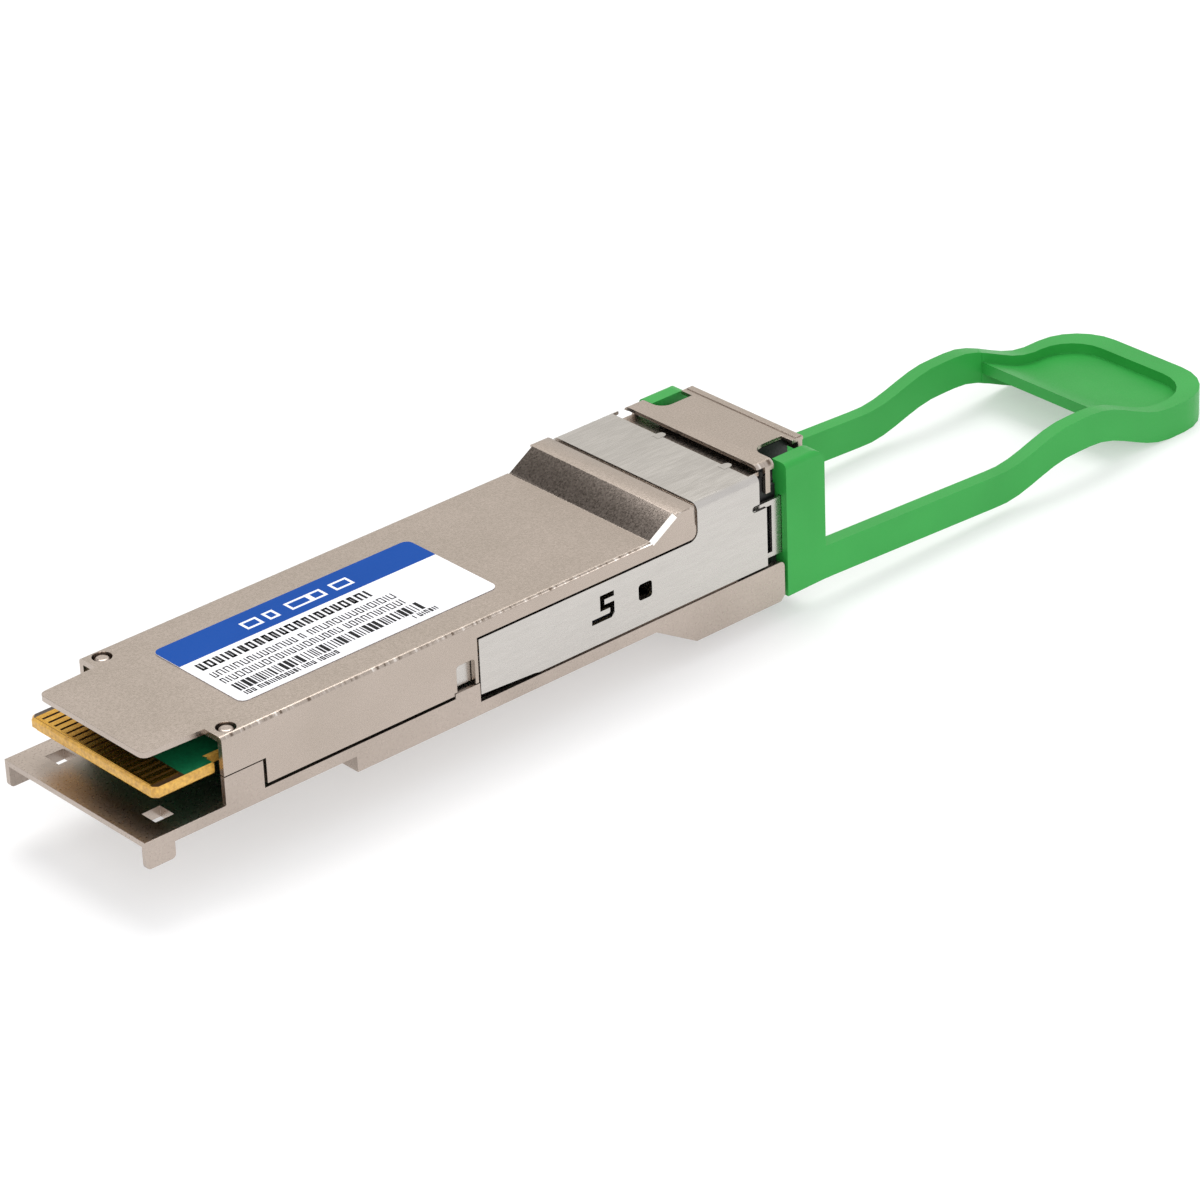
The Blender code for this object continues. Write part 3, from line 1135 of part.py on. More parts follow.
def main():
    for old in list(bpy.data.objects):
        bpy.data.objects.remove(old)
    parts = new_collection("optical_transceiver_module")
    guides = new_collection("cutters")
    latch = bpy.data.objects.new("latch_slide_axis", None)
    parts.objects.link(latch)
    latch.location = place(SLIDER_SIDE_END, 0.0, HEAD_TOP / 2)
    bpy.context.view_layer.update()
    build_base(parts, guides)
    build_cover(parts, guides)
    build_slider(parts, guides, latch)
    build_tab(parts, guides, latch)
    build_springs(parts)
    build_housing(parts, guides)
    build_plate(parts, guides)
    build_barrels(parts)
    build_optics(parts, guides)
    build_board(parts, guides)
    build_components(parts)
    build_thermal_and_seal(parts)
    build_fasteners(parts, guides)
    build_label(parts)


main()
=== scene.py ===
"""Looks of a pluggable optical transceiver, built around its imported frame."""

import logging
import math
import random
from dataclasses import dataclass, field
from enum import Enum
from typing import Any, Sequence

import bmesh
import bpy
from mathutils import Matrix, Vector


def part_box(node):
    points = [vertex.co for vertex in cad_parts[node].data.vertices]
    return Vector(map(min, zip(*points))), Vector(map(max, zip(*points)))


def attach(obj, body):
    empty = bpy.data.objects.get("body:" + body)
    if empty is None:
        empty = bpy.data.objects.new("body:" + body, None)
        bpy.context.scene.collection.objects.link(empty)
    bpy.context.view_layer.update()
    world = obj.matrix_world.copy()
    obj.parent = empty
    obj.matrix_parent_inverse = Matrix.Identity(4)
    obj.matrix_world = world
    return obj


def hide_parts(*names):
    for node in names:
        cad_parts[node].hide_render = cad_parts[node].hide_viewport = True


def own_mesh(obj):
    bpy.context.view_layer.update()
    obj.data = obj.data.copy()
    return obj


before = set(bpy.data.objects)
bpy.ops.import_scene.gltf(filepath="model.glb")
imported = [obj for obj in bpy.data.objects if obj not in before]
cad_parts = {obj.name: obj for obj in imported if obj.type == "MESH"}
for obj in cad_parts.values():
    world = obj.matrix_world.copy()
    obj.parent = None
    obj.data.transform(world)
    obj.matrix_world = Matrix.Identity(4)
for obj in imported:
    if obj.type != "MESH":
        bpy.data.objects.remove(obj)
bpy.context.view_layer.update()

MM = 0.001
MERGE = 0.0005 * MM
FLAT_ANGLE = math.radians(0.5)
SHARP_ANGLE = math.radians(24)
ROUNDED_ANGLE = math.radians(28)
COIL_ANGLE = math.radians(50)
LOG = logging.getLogger("transceiver")


class Body(Enum):
    """The rigid bodies of the module."""

    MODULE = "module_body"
    LATCH = "latch"


class Axis(Enum):
    """Directions a grain can run along."""

    NONE = (1.0, 1.0, 1.0)
    ALONG = (0.12, 1.0, 1.0)


def linear(hex_colour: str) -> tuple[float, float, float, float]:
    """Turn an sRGB hex colour into linear light.

    Args:
        hex_colour: six hex digits with a leading hash.

    Returns:
        Linear red, green, blue and an alpha of one.
    """
    parts = [int(hex_colour[i : i + 2], 16) / 255 for i in (1, 3, 5)]
    red, green, blue = (c / 12.92 if c <= 0.04045 else ((c + 0.055) / 1.055) ** 2.4 for c in parts)
    return (red, green, blue, 1.0)


def add(
    tree: bpy.types.NodeTree,
    kind: str,
    settings: dict[str, Any] | None = None,
    inputs: dict[Any, Any] | None = None,
) -> bpy.types.Node:
    """Add a node with its settings and its links.

    Args:
        tree: the node tree to add to.
        kind: the node's type name.
        settings: attributes of the node itself.
        inputs: socket name or number to a value, a node's first output or an output socket.

    Returns:
        The new node.
    """
    node = tree.nodes.new(kind)
    for key, value in (settings or {}).items():
        setattr(node, key, value)
    for key, value in (inputs or {}).items():
        if isinstance(value, bpy.types.Node):
            tree.links.new(value.outputs[0], node.inputs[key])
        elif isinstance(value, bpy.types.NodeSocket):
            tree.links.new(value, node.inputs[key])
        else:
            node.inputs[key].default_value = value
    return node


def ramp(tree: bpy.types.NodeTree, source: Any, stops: Sequence[tuple[float, str]]) -> bpy.types.Node:
    """Colour a value through a ramp.

    Args:
        tree: the node tree.
        source: node or socket that gives the value.
        stops: positions with sRGB hex colours, in rising order.

    Returns:
        The ramp node.
    """
    node = add(tree, "ShaderNodeValToRGB", inputs={"Fac": source})
    while len(node.color_ramp.elements) < len(stops):
        node.color_ramp.elements.new(0.5)
    for element, (place, colour) in zip(node.color_ramp.elements, stops):
        element.position = place
        element.color = linear(colour)
    return node


def new_material(name: str) -> tuple[bpy.types.Material, bpy.types.NodeTree, bpy.types.Node]:
    """Make an empty node material.

    Args:
        name: the finish's name.

    Returns:
        The material, its tree and its shader.
    """
    made = bpy.data.materials.new(name)
    made.use_nodes = True
    return made, made.node_tree, made.node_tree.nodes["Principled BSDF"]


def object_pattern(tree: bpy.types.NodeTree, scale: Sequence[float] = (1.0, 1.0, 1.0)) -> bpy.types.Node:
    """Give object coordinates, stretched for a grain.

    Args:
        tree: the node tree.
        scale: how much each direction is squeezed.

    Returns:
        The mapping node.
    """
    coordinates = add(tree, "ShaderNodeTexCoord")
    place = coordinates.outputs["Object"]
    return add(tree, "ShaderNodeMapping", inputs={"Vector": place, "Scale": tuple(scale)})


def noise(tree: bpy.types.NodeTree, place: Any, size: float, detail: float) -> bpy.types.Node:
    """Give a cloudy pattern.

    Args:
        tree: the node tree.
        place: node or socket that gives the coordinates.
        size: width of the pattern's largest spots, in metres.
        detail: how many finer layers lie over them.

    Returns:
        The noise node.
    """
    settings = {"Vector": place, "Scale": 1 / size, "Detail": detail}
    return add(tree, "ShaderNodeTexNoise", inputs=settings)


@dataclass(frozen=True)
class SheetMetal:
    """Plated or rolled sheet: a fine matt grain over soft cloudy tone, with painted highlights along its
    folds when asked for.
    """

    name: str
    pale: str
    deep: str
    roughness: float
    grain_mm: float
    cloud_mm: float
    bump: float
    run: Axis = Axis.NONE
    fold_glints: bool = False
    dash: float = 0.55 * MM
    ramp_start: float = -9.4 * MM

    def material(self) -> bpy.types.Material:
        """Build the metal's nodes.

        Returns:
            The material.
        """
        made, tree, shader = new_material(self.name)
        place = object_pattern(tree, self.run.value)
        grain = noise(tree, place, self.grain_mm * MM, 3.0)
        cloud = noise(tree, place, self.cloud_mm * MM, 4.0)
        speckle = add(
            tree, "ShaderNodeMath", {"operation": "MULTIPLY"}, {0: grain.outputs["Fac"], 1: 0.45}
        )
        tone = add(
            tree,
            "ShaderNodeMath",
            {"operation": "MULTIPLY_ADD"},
            {0: cloud.outputs["Fac"], 1: 0.55, 2: speckle},
        )
        colour = ramp(tree, tone, ((0.34, self.deep), (0.66, self.pale))).outputs["Color"]
        # Painted highlights along the folds and on the ramp's edge.
        if self.fold_glints:
            colour = self.paint_fold_glints(tree, colour)
        tree.links.new(colour, shader.inputs["Base Color"])
        rough = add(
            tree,
            "ShaderNodeMapRange",
            inputs={
                "Value": grain.outputs["Fac"],
                "From Min": 0.3,
                "From Max": 0.7,
                "To Min": self.roughness * 0.85,
                "To Max": self.roughness * 1.2,
            },
        )
        tree.links.new(rough.outputs[0], shader.inputs["Roughness"])
        relief = add(
            tree,
            "ShaderNodeBump",
            inputs={"Height": grain.outputs["Fac"], "Strength": self.bump, "Distance": 0.01 * MM},
        )
        tree.links.new(relief.outputs["Normal"], shader.inputs["Normal"])
        shader.inputs["Metallic"].default_value = 1.0
        return made

    def paint_fold_glints(self, tree: bpy.types.NodeTree, colour: bpy.types.NodeSocket) -> bpy.types.NodeSocket:
        """Paint highlights on the long rounded folds as short bright and dark painted stretches, and paint a
        white glint on the ramp's edges.

        Args:
            tree: the metal's node tree.
            colour: the even plate's colour.

        Returns:
            The worn plate's colour.
        """
        normal = add(tree, "ShaderNodeNewGeometry")
        facing = add(tree, "ShaderNodeSeparateXYZ", inputs={0: normal.outputs["Normal"]})
        level = add(tree, "ShaderNodeMath", {"operation": "ABSOLUTE"}, {0: facing.outputs["Y"]})
        tilted = add(tree, "ShaderNodeMath", {"operation": "MULTIPLY"}, {0: level, 1: facing.outputs["Z"]})
        # Mask for the painted highlights: faces tilted like the long rounded folds.
        fold = add(tree, "ShaderNodeMapRange", inputs={"Value": tilted, "From Min": 0.2, "From Max": 0.4})
        along = object_pattern(tree, (1.0, 0.0, 0.0))
        broken = noise(tree, along, self.dash, 3.0)
        # Painted highlights: dark and near-white dashes along the folds, standing for broken glints.
        glint_colours = ramp(
            tree,
            broken.outputs["Fac"],
            ((0.38, "#6E6055"), (0.47, "#A99D92"), (0.55, "#B8ACA2"), (0.66, "#E6DED6")),
        )
        dashed = add(
            tree,
            "ShaderNodeMix",
            {"data_type": "RGBA"},
            {0: fold.outputs[0], 6: colour, 7: glint_colours.outputs["Color"]},
        )
        # Painted highlight: a near-white glint on the ramp's edge chamfer, only behind the ramp's start.
        leaning = add(
            tree, "ShaderNodeMath", {"operation": "LESS_THAN"}, {0: facing.outputs["X"], 1: -0.15}
        )
        spot = add(tree, "ShaderNodeTexCoord")
        station = add(tree, "ShaderNodeSeparateXYZ", inputs={0: spot.outputs["Object"]})
        behind = add(
            tree,
            "ShaderNodeMath",
            {"operation": "GREATER_THAN"},
            {0: station.outputs["X"], 1: self.ramp_start},
        )
        slope = add(tree, "ShaderNodeMath", {"operation": "MULTIPLY"}, {0: leaning, 1: behind})
        glint = add(tree, "ShaderNodeMath", {"operation": "MULTIPLY"}, {0: slope, 1: fold.outputs[0]})
        glinted = add(
            tree,
            "ShaderNodeMix",
            {"data_type": "RGBA"},
            {0: glint, 6: dashed.outputs[2], 7: linear("#FFFCF6")},
        )
        return glinted.outputs[2]


@dataclass(frozen=True)
class Moulding:
    """Injection-moulded polymer: near-even colour with a satin spark-eroded skin."""

    name: str
    colour: str
    shade: str
    roughness: float
    grain_mm: float
    bump: float
    coat: float = 0.0
    specular: float = 0.5
    flow: float = 9.0 * MM

    def material(self) -> bpy.types.Material:
        """Build the polymer's nodes.

        Returns:
            The material.
        """
        made, tree, shader = new_material(self.name)
        place = object_pattern(tree)
        grain = noise(tree, place, self.grain_mm * MM, 2.0)
        flow = noise(tree, place, self.flow, 2.0)
        colour = ramp(tree, flow.outputs["Fac"], ((0.3, self.shade), (0.7, self.colour)))
        tree.links.new(colour.outputs["Color"], shader.inputs["Base Color"])
        rough = add(
            tree,
            "ShaderNodeMapRange",
            inputs={
                "Value": grain.outputs["Fac"],
                "From Min": 0.3,
                "From Max": 0.7,
                "To Min": self.roughness * 0.85,
                "To Max": self.roughness * 1.2,
            },
        )
        tree.links.new(rough.outputs[0], shader.inputs["Roughness"])
        relief = add(
            tree,
            "ShaderNodeBump",
            inputs={"Height": grain.outputs["Fac"], "Strength": self.bump, "Distance": 0.01 * MM},
        )
        tree.links.new(relief.outputs["Normal"], shader.inputs["Normal"])
        shader.inputs["IOR"].default_value = 1.5
        shader.inputs["Specular IOR Level"].default_value = self.specular
        shader.inputs["Coat Weight"].default_value = self.coat
        return made


@dataclass(frozen=True)
class SolderMask:
    """Glass-epoxy card: woven tan laminate at its bare end and edges, green mask on the faces."""

    name: str
    mask: str
    thin_mask: str
    bare: str
    edge: str
    mask_start: float
    weave: float = 0.3 * MM

    def material(self) -> bpy.types.Material:
        """Build the card's nodes.

        Returns:
            The material.
        """
        made, tree, shader = new_material(self.name)
        coordinates = add(tree, "ShaderNodeTexCoord")
        parts = add(tree, "ShaderNodeSeparateXYZ", inputs={0: coordinates.outputs["Object"]})
        masked = add(
            tree, "ShaderNodeMath", {"operation": "GREATER_THAN"}, {0: parts.outputs["X"], 1: self.mask_start}
        )
        weave = noise(tree, coordinates.outputs["Object"], self.weave, 2.0)
        green = ramp(tree, weave.outputs["Fac"], ((0.3, self.mask), (0.75, self.thin_mask)))
        face = add(
            tree,
            "ShaderNodeMix",
            {"data_type": "RGBA"},
            {0: masked, 6: linear(self.bare), 7: green.outputs["Color"]},
        )
        normal = add(tree, "ShaderNodeNewGeometry")
        tilt = add(tree, "ShaderNodeSeparateXYZ", inputs={0: normal.outputs["Normal"]})
        upright = add(tree, "ShaderNodeMath", {"operation": "ABSOLUTE"}, {0: tilt.outputs["Z"]})
        flat = add(tree, "ShaderNodeMath", {"operation": "GREATER_THAN"}, {0: upright, 1: 0.9})
        glass = ramp(tree, weave.outputs["Fac"], ((0.3, "#B98A3C"), (0.7, self.edge)))
        colour = add(
            tree,
            "ShaderNodeMix",
            {"data_type": "RGBA"},
            {0: flat, 6: glass.outputs["Color"], 7: face.outputs[2]},
        )
        tree.links.new(colour.outputs[2], shader.inputs["Base Color"])
        shader.inputs["Roughness"].default_value = 0.35
        shader.inputs["IOR"].default_value = 1.55
        return made


# Nickel plate on die-cast zinc: warm grey, satin, with a faint sugary grain.
NICKEL_SHELL = SheetMetal("satin_nickel_plate", "#BDB0A6", "#AB9F95", 0.3, 0.2, 7.0, 0.12)
# The cover is the same plate, with painted highlights broken into dashes along its long folds and a painted
# glint on the ramp's edge.
NICKEL_COVER = SheetMetal("satin_nickel_cover", "#BCAFA5", "#B0A499", 0.28, 0.18, 8.0, 0.1, Axis.NONE, True)
# Bright-rolled stainless: paler and cooler, with a faint grain along the strip.
STAINLESS = SheetMetal("bright_rolled_stainless", "#C8C4BF", "#BDB9B4", 0.26, 0.25, 6.0, 0.03, Axis.ALONG)
SPRING_STEEL = SheetMetal("drawn_spring_steel", "#A9A9AD", "#86868C", 0.28, 0.1, 2.0, 0.1)
GOLD = SheetMetal("hard_gold_plate", "#E9B955", "#C9922F", 0.26, 0.12, 1.5, 0.1)
PACKAGE = SheetMetal("gold_flash_kovar", "#C9BE98", "#998D6C", 0.32, 0.15, 2.0, 0.15)
# Glass-filled polybutylene terephthalate: bright leaf green with a satin skin.
GREEN_TAB = Moulding("green_moulded_polymer", "#319F43", "#2B963D", 0.42, 0.12, 0.1, specular=0.3)
BLACK_PORT = Moulding("black_moulded_polymer", "#141517", "#0C0C0E", 0.45, 0.15, 0.1)
CHIP = Moulding("black_epoxy_moulding", "#17181A", "#0D0D0F", 0.55, 0.08, 0.15)
FERRITE = Moulding("sintered_ferrite", "#3A3B3E", "#2A2B2D", 0.6, 0.1, 0.2)
CERAMIC = Moulding("zirconia_ceramic", "#F2F0EA", "#E5E2DA", 0.2, 0.2, 0.02, 0.3)
FLEX = Moulding("amber_polyimide", "#B9742A", "#9A5A1C", 0.35, 0.4, 0.03, 0.4)
GAP_PAD = Moulding("silicone_gap_pad", "#8C9AB8", "#7A88A6", 0.8, 0.2, 0.2)
GASKET = Moulding("conductive_elastomer", "#2A2A2B", "#1C1C1D", 0.85, 0.15, 0.3)
# Polyester label stock: white, with the faint gloss of its overlaminate.
LABEL_FILM = Moulding("white_polyester_film", "#FAFAFC", "#F4F4F8", 0.4, 0.3, 0.02)
BLUE_INK = Moulding("blue_flood_ink", "#2150A1", "#1E4C9B", 0.4, 0.3, 0.02, specular=0.02)
BLACK_INK = Moulding("black_thermal_ink", "#101114", "#0B0C0F", 0.5, 0.3, 0.02, specular=0.15)
WHITE_INK = Moulding("white_reversed_ink", "#F8F9FC", "#EEF1F7", 0.4, 0.3, 0.02)


@dataclass
class SubAssembly:
    """Pieces that are built and dressed together."""

    body: Body

    def dress_node(self, node: str, finish: bpy.types.Material) -> None:
        """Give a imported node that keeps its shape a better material.

        Args:
            node: the node's name.
            finish: the material.
        """
        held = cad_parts[node]
        held.data.materials.clear()
        held.data.materials.append(finish)
        LOG.info("dressed %s", node)

    def rounded_copy(
        self,
        node: str,
        slot: str,
        finish: bpy.types.Material,
        edge_mm: float,
        segments: int = 2,
    ) -> bpy.types.Object:
        """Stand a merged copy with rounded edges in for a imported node.

        Args:
            node: the node that is copied and hidden.
            slot: the record's material slot.
            finish: the material.
            edge_mm: radius of the rounded edges.
            segments: faces around each rounded edge.

        Returns:
            The new piece.
        """
        bm = bmesh.new()
        bm.from_mesh(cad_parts[node].data)
        bmesh.ops.remove_doubles(bm, verts=bm.verts, dist=MERGE)
        bmesh.ops.dissolve_limit(
            bm, angle_limit=FLAT_ANGLE, verts=bm.verts, edges=bm.edges, use_dissolve_boundaries=False
        )
        for face in bm.faces:
            face.material_index = 0
        self.mark_roomy_edges(bm, edge_mm * MM)
        piece = self.add_piece(node + "_finished", bm, finish, slot)
        rounding = piece.modifiers.new("edge_round", "BEVEL")
        rounding.width = edge_mm * MM
        rounding.segments = segments
        rounding.limit_method = "WEIGHT"
        rounding.harden_normals = False
        piece.data.shade_smooth()
        piece.data.set_sharp_from_angle(angle=SHARP_ANGLE)
        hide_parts(node)
        return piece

    @staticmethod
    def mark_roomy_edges(bm: bmesh.types.BMesh, radius: float) -> None:
        """Weight the sharp edges that have room for a rounding beside them.

        Args:
            bm: the merged copy.
            radius: radius of the rounding, in metres.
        """
        weights = bm.edges.layers.float.new("bevel_weight_edge")
        sharp = {
            e for e in bm.edges if len(e.link_faces) == 2 and e.calc_face_angle() > ROUNDED_ANGLE
        }
        sharp_share, plain_share = 1.1, 2.2
        for edge in sharp:
            beside = [e for v in edge.verts for e in v.link_edges if e is not edge]
            room = min(e.calc_length() / (sharp_share if e in sharp else plain_share) for e in beside)
            if room > radius:
                edge[weights] = 1.0

    def add_piece(
        self, name: str, bm: bmesh.types.BMesh, finish: bpy.types.Material, slot: str
    ) -> bpy.types.Object:
        """Make a piece from a bmesh and let it ride on this body.

        Args:
            name: the piece's name.
            bm: its shape, in the frame's place; freed here.
            finish: the material.
            slot: the record's material slot; not used.

        Returns:
            The new piece.
        """
        mesh = bpy.data.meshes.new(name)
        bm.to_mesh(mesh)
        bm.free()
        mesh.materials.append(finish)
        piece = bpy.data.objects.new(name, mesh)
        bpy.context.scene.collection.objects.link(piece)
        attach(piece, self.body.value)
        LOG.info("built %s with %d faces", name, len(mesh.polygons))
        return piece


def add_block(bm: bmesh.types.BMesh, low: Vector, high: Vector) -> list[bmesh.types.BMVert]:
    """Add a box to a bmesh.

    Args:
        bm: the bmesh.
        low: lowest corner.
        high: highest corner.

    Returns:
        The box's vertices.
    """
    size = high - low
    middle = (high + low) / 2
    matrix = Matrix.Translation(middle) @ Matrix.Diagonal((*size, 1.0))
    return bmesh.ops.create_cube(bm, size=1.0, matrix=matrix)["verts"]


@dataclass
class Shells(SubAssembly):
    """Base and cover shells with the plate, pins, screws and springs they carry."""

    edge_mm: float = 0.09
    plate_edge_mm: float = 0.06
    spring_seat: Vector = field(default_factory=lambda: Vector((-2.4, 0.0, 0.0)) * MM)
    spring_keep: float = 0.65

    def build(self) -> None:
        """Round and dress the shells and the plate, then their fasteners and springs."""
        base = NICKEL_SHELL.material()
        cover = NICKEL_COVER.material()
        steel = SPRING_STEEL.material()
        self.rounded_copy("base_shell", "nickel_base", base, self.edge_mm)
        self.rounded_copy("cover_shell", "nickel_cover", cover, self.edge_mm)
        self.rounded_copy("retainer_plate", "nickel_cover", cover, self.plate_edge_mm)
        for side in ("near", "far"):
            self.dress_node("locating_pin_" + side, base)
            self.dress_node("shell_screw_" + side, steel)
            self.squashed_spring("return_spring_" + side, steel)

    def squashed_spring(self, node: str, finish: bpy.types.Material) -> None:
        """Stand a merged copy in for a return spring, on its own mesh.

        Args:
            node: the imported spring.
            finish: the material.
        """
        bm = bmesh.new()
        bm.from_mesh(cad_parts[node].data)
        bmesh.ops.remove_doubles(bm, verts=bm.verts, dist=MERGE)
        for face in bm.faces:
            face.material_index = 0
        piece = self.add_piece(node + "_finished", bm, finish, "spring_steel")
        piece.data.shade_smooth()
        piece.data.set_sharp_from_angle(angle=COIL_ANGLE)
        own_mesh(piece)
        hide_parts(node)


@dataclass
class Latch(SubAssembly):
    """Latch slider with its moulded pull tab."""

    slider_edge_mm: float = 0.05
    tab_edge_mm: float = 0.3

    def build(self) -> None:
        """Round and dress the slider and the tab."""
        self.rounded_copy("latch_slider", "bright_steel", STAINLESS.material(), self.slider_edge_mm)
        self.rounded_copy("pull_tab", "green_moulding", GREEN_TAB.material(), self.tab_edge_mm, 3)


@dataclass
class Receptacle(SubAssembly):
    """Duplex receptacle with barrels and stubs."""

    edge_mm: float = 0.12

    def build(self) -> None:
        """Round and dress the housing and its optics."""
        self.rounded_copy("receptacle_housing", "dark_moulding", BLACK_PORT.material(), self.edge_mm)
        package = PACKAGE.material()
        ceramic = CERAMIC.material()
        for side in ("near", "far"):
            self.dress_node("optical_barrel_" + side, package)
            self.dress_node("fibre_stub_" + side, ceramic)
        for name in ("transmit_optics", "receive_optics", "clock_crystal"):
            self.dress_node(name, package)
        for name in ("tank_capacitor_near", "tank_capacitor_far"):
            self.dress_node(name, ceramic)


@dataclass
class Board(SubAssembly):
    """Main board with its contacts, chips and pads."""

    bare_length: float = 3.1 * MM

    def build(self) -> None:
        """Dress the card and everything on it."""
        low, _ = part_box("main_board")
        start = low.x + self.bare_length
        mask = SolderMask("green_solder_mask", "#0A5A36", "#127048", "#3A2612", "#E3B24E", start)
        self.dress_node("main_board", mask.material())
        gold = GOLD.material()
        for name in ("edge_contacts_top", "edge_contacts_bottom"):
            self.dress_node(name, gold)
        chip = CHIP.material()
        for name in (
            "laser_driver_chip",
            "receiver_amp_chip",
            "retimer_chip",
            "power_converter_chip",
            "microcontroller_chip",
        ):
            self.dress_node(name, chip)
        self.dress_node("power_inductor", FERRITE.material())
        flex = FLEX.material()
        for name in ("transmit_flex", "receive_flex"):
            self.dress_node(name, flex)
        pad = GAP_PAD.material()
        for name in ("chip_thermal_pad", "optics_thermal_pad"):
            self.dress_node(name, pad)
        self.dress_node("shield_gasket", GASKET.material())


@dataclass
class Label(SubAssembly):
    """Printed label: white film, a blue flood band and plain strokes where lettering would be."""

    ink: float = 0.012 * MM
    band_low: float = 2.02 * MM
    corner: float = 0.7 * MM
    seed: int = 7
    lines: tuple[tuple[float, float, float, float, float], ...] = field(
        default=(
            (0.95, 18.5, 0.18, 1.2, 0.24),
            (0.95, 19.7, -1.42, 0.92, 0.12),
            (0.95, 19.4, -2.72, 0.92, 0.12),
            (1.1, 10.4, -5.3, 0.62, 0.12),
            (18.4, 20.9, -5.3, 0.62, 0.12),
        )
    )
    frame_widths: tuple[float, ...] = (1.7, 1.1, 2.3, 1.4, 1.9)
    frame_start: float = 7.7
    frame_pitch: float = 2.3
    frame_foot: float = 2.95
    frame_height: float = 1.3
    frame_stroke: float = 0.24
    bars: tuple[float, float] = (1.07, 20.1)
    bar_foot: float = -4.48
    bar_height: float = 1.35

    def build(self) -> None:
        """Dress the film and print on it."""
        low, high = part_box("product_label")
        self.dress_node("product_label", LABEL_FILM.material())
        self.print_band(low, high)
        rng = random.Random(self.seed)
        dark = bmesh.new()
        for start, end, base, height, weight in self.lines:
            self.print_line(dark, rng, low, high, (start, end), base, height, weight)
        self.print_bars(dark, rng, low, high)
        self.add_piece("label_print", dark, BLACK_INK.material(), "label_film")
        pale = bmesh.new()
        for number, width in enumerate(self.frame_widths):
            along = self.frame_start + self.frame_pitch * number
            self.print_frame(pale, low, high, along, width)
        self.add_piece("label_reversed_print", pale, WHITE_INK.material(), "label_film")

    def print_band(self, low: Vector, high: Vector) -> None:
        """Lay the blue band along the label's far edge.

        Args:
            low: the film's lowest corner.
            high: its highest corner.
        """
        bm = bmesh.new()
        add_block(bm, Vector((low.x, self.band_low, high.z)), Vector((high.x, high.y, high.z + self.ink)))
        bm.edges.ensure_lookup_table()
        corners = [
            e
            for e in bm.edges
            if abs(e.verts[0].co.z - e.verts[1].co.z) > self.ink / 2
            and e.verts[0].co.y > high.y - self.corner
        ]
        bmesh.ops.bevel(
            bm, geom=corners, offset=self.corner, segments=5, affect="EDGES", profile=0.5, material=-1
        )
        self.add_piece("label_band", bm, BLUE_INK.material(), "label_film")

    def print_line(
        self,
        bm: bmesh.types.BMesh,
        rng: random.Random,
        low: Vector,
        high: Vector,
        span: tuple[float, float],
        base: float,
        height: float,
        weight: float,
    ) -> None:
        """Print a row of plain strokes that stand for lettering.

        Args:
            bm: the bmesh that takes the ink.
            rng: seeded random numbers.
            low: the film's lowest corner.
            high: its highest corner.
            span: start and end along the label, in millimetres.
            base: height of the row's foot across the label, in millimetres.
            height: height of the strokes, in millimetres.
            weight: width of a stroke, in millimetres.
        """
        space = height * 0.2
        along = span[0]
        while along < span[1]:
            width = height * rng.uniform(0.42, 0.6)
            if rng.random() < 0.08:
                along += width * 0.7
                continue
            paired = rng.random() < 0.8
            self.stroke_block(bm, low, high, along, base, weight, height)
            if not paired:
                along += weight + space
                continue
            self.stroke_block(bm, low, high, along + width - weight, base, weight, height)
            for offset in rng.choice(((0.0,), (height - weight,), (0.0, height - weight))):
                self.stroke_block(bm, low, high, along, base + offset, width, weight)
            along += width + space

    def print_frame(
        self,
        bm: bmesh.types.BMesh,
        low: Vector,
        high: Vector,
        along: float,
        width: float,
    ) -> None:
        """Print a plain rectangular frame on the blue band.

        Args:
            bm: the bmesh that takes the ink.
            low: the film's lowest corner.
            high: its highest corner.
            along: where the frame starts along the label, in millimetres.
            width: its width, in millimetres.
        """
        foot, height, weight = self.frame_foot, self.frame_height, self.frame_stroke
        for offset in (0.0, height - weight):
            self.stroke_block(bm, low, high, along, foot + offset, width, weight, self.ink)
        for offset in (0.0, width - weight):
            self.stroke_block(
                bm, low, high, along + offset, foot + weight, weight, height - 2 * weight, self.ink
            )

    def stroke_block(
        self,
        bm: bmesh.types.BMesh,
        low: Vector,
        high: Vector,
        along: float,
        across: float,
        width: float,
        height: float,
        lift: float = 0.0,
    ) -> None:
        """Print one stroke.

        Args:
            bm: the bmesh that takes the ink.
            low: the film's lowest corner.
            high: its highest corner.
            along: where the stroke starts along the label, in millimetres.
            across: its foot across the label, in millimetres.
            width: its width, in millimetres.
            height: its height, in millimetres.
            lift: how much higher than the film the ink starts, in metres.
        """
        foot = Vector((low.x + along * MM, across * MM, high.z + lift))
        add_block(bm, foot, foot + Vector((width * MM, height * MM, self.ink)))

    def print_bars(self, bm: bmesh.types.BMesh, rng: random.Random, low: Vector, high: Vector) -> None:
        """Print a plain run of bars, as on any stock label.

        Args:
            bm: the bmesh that takes the ink.
            rng: seeded random numbers.
            low: the film's lowest corner.
            high: its highest corner.
        """
        along, end = self.bars
        while along < end:
            width = rng.choice((0.12, 0.12, 0.22, 0.36))
            self.stroke_block(bm, low, high, along, self.bar_foot, width, self.bar_height)
            along += width + rng.choice((0.12, 0.16, 0.24))


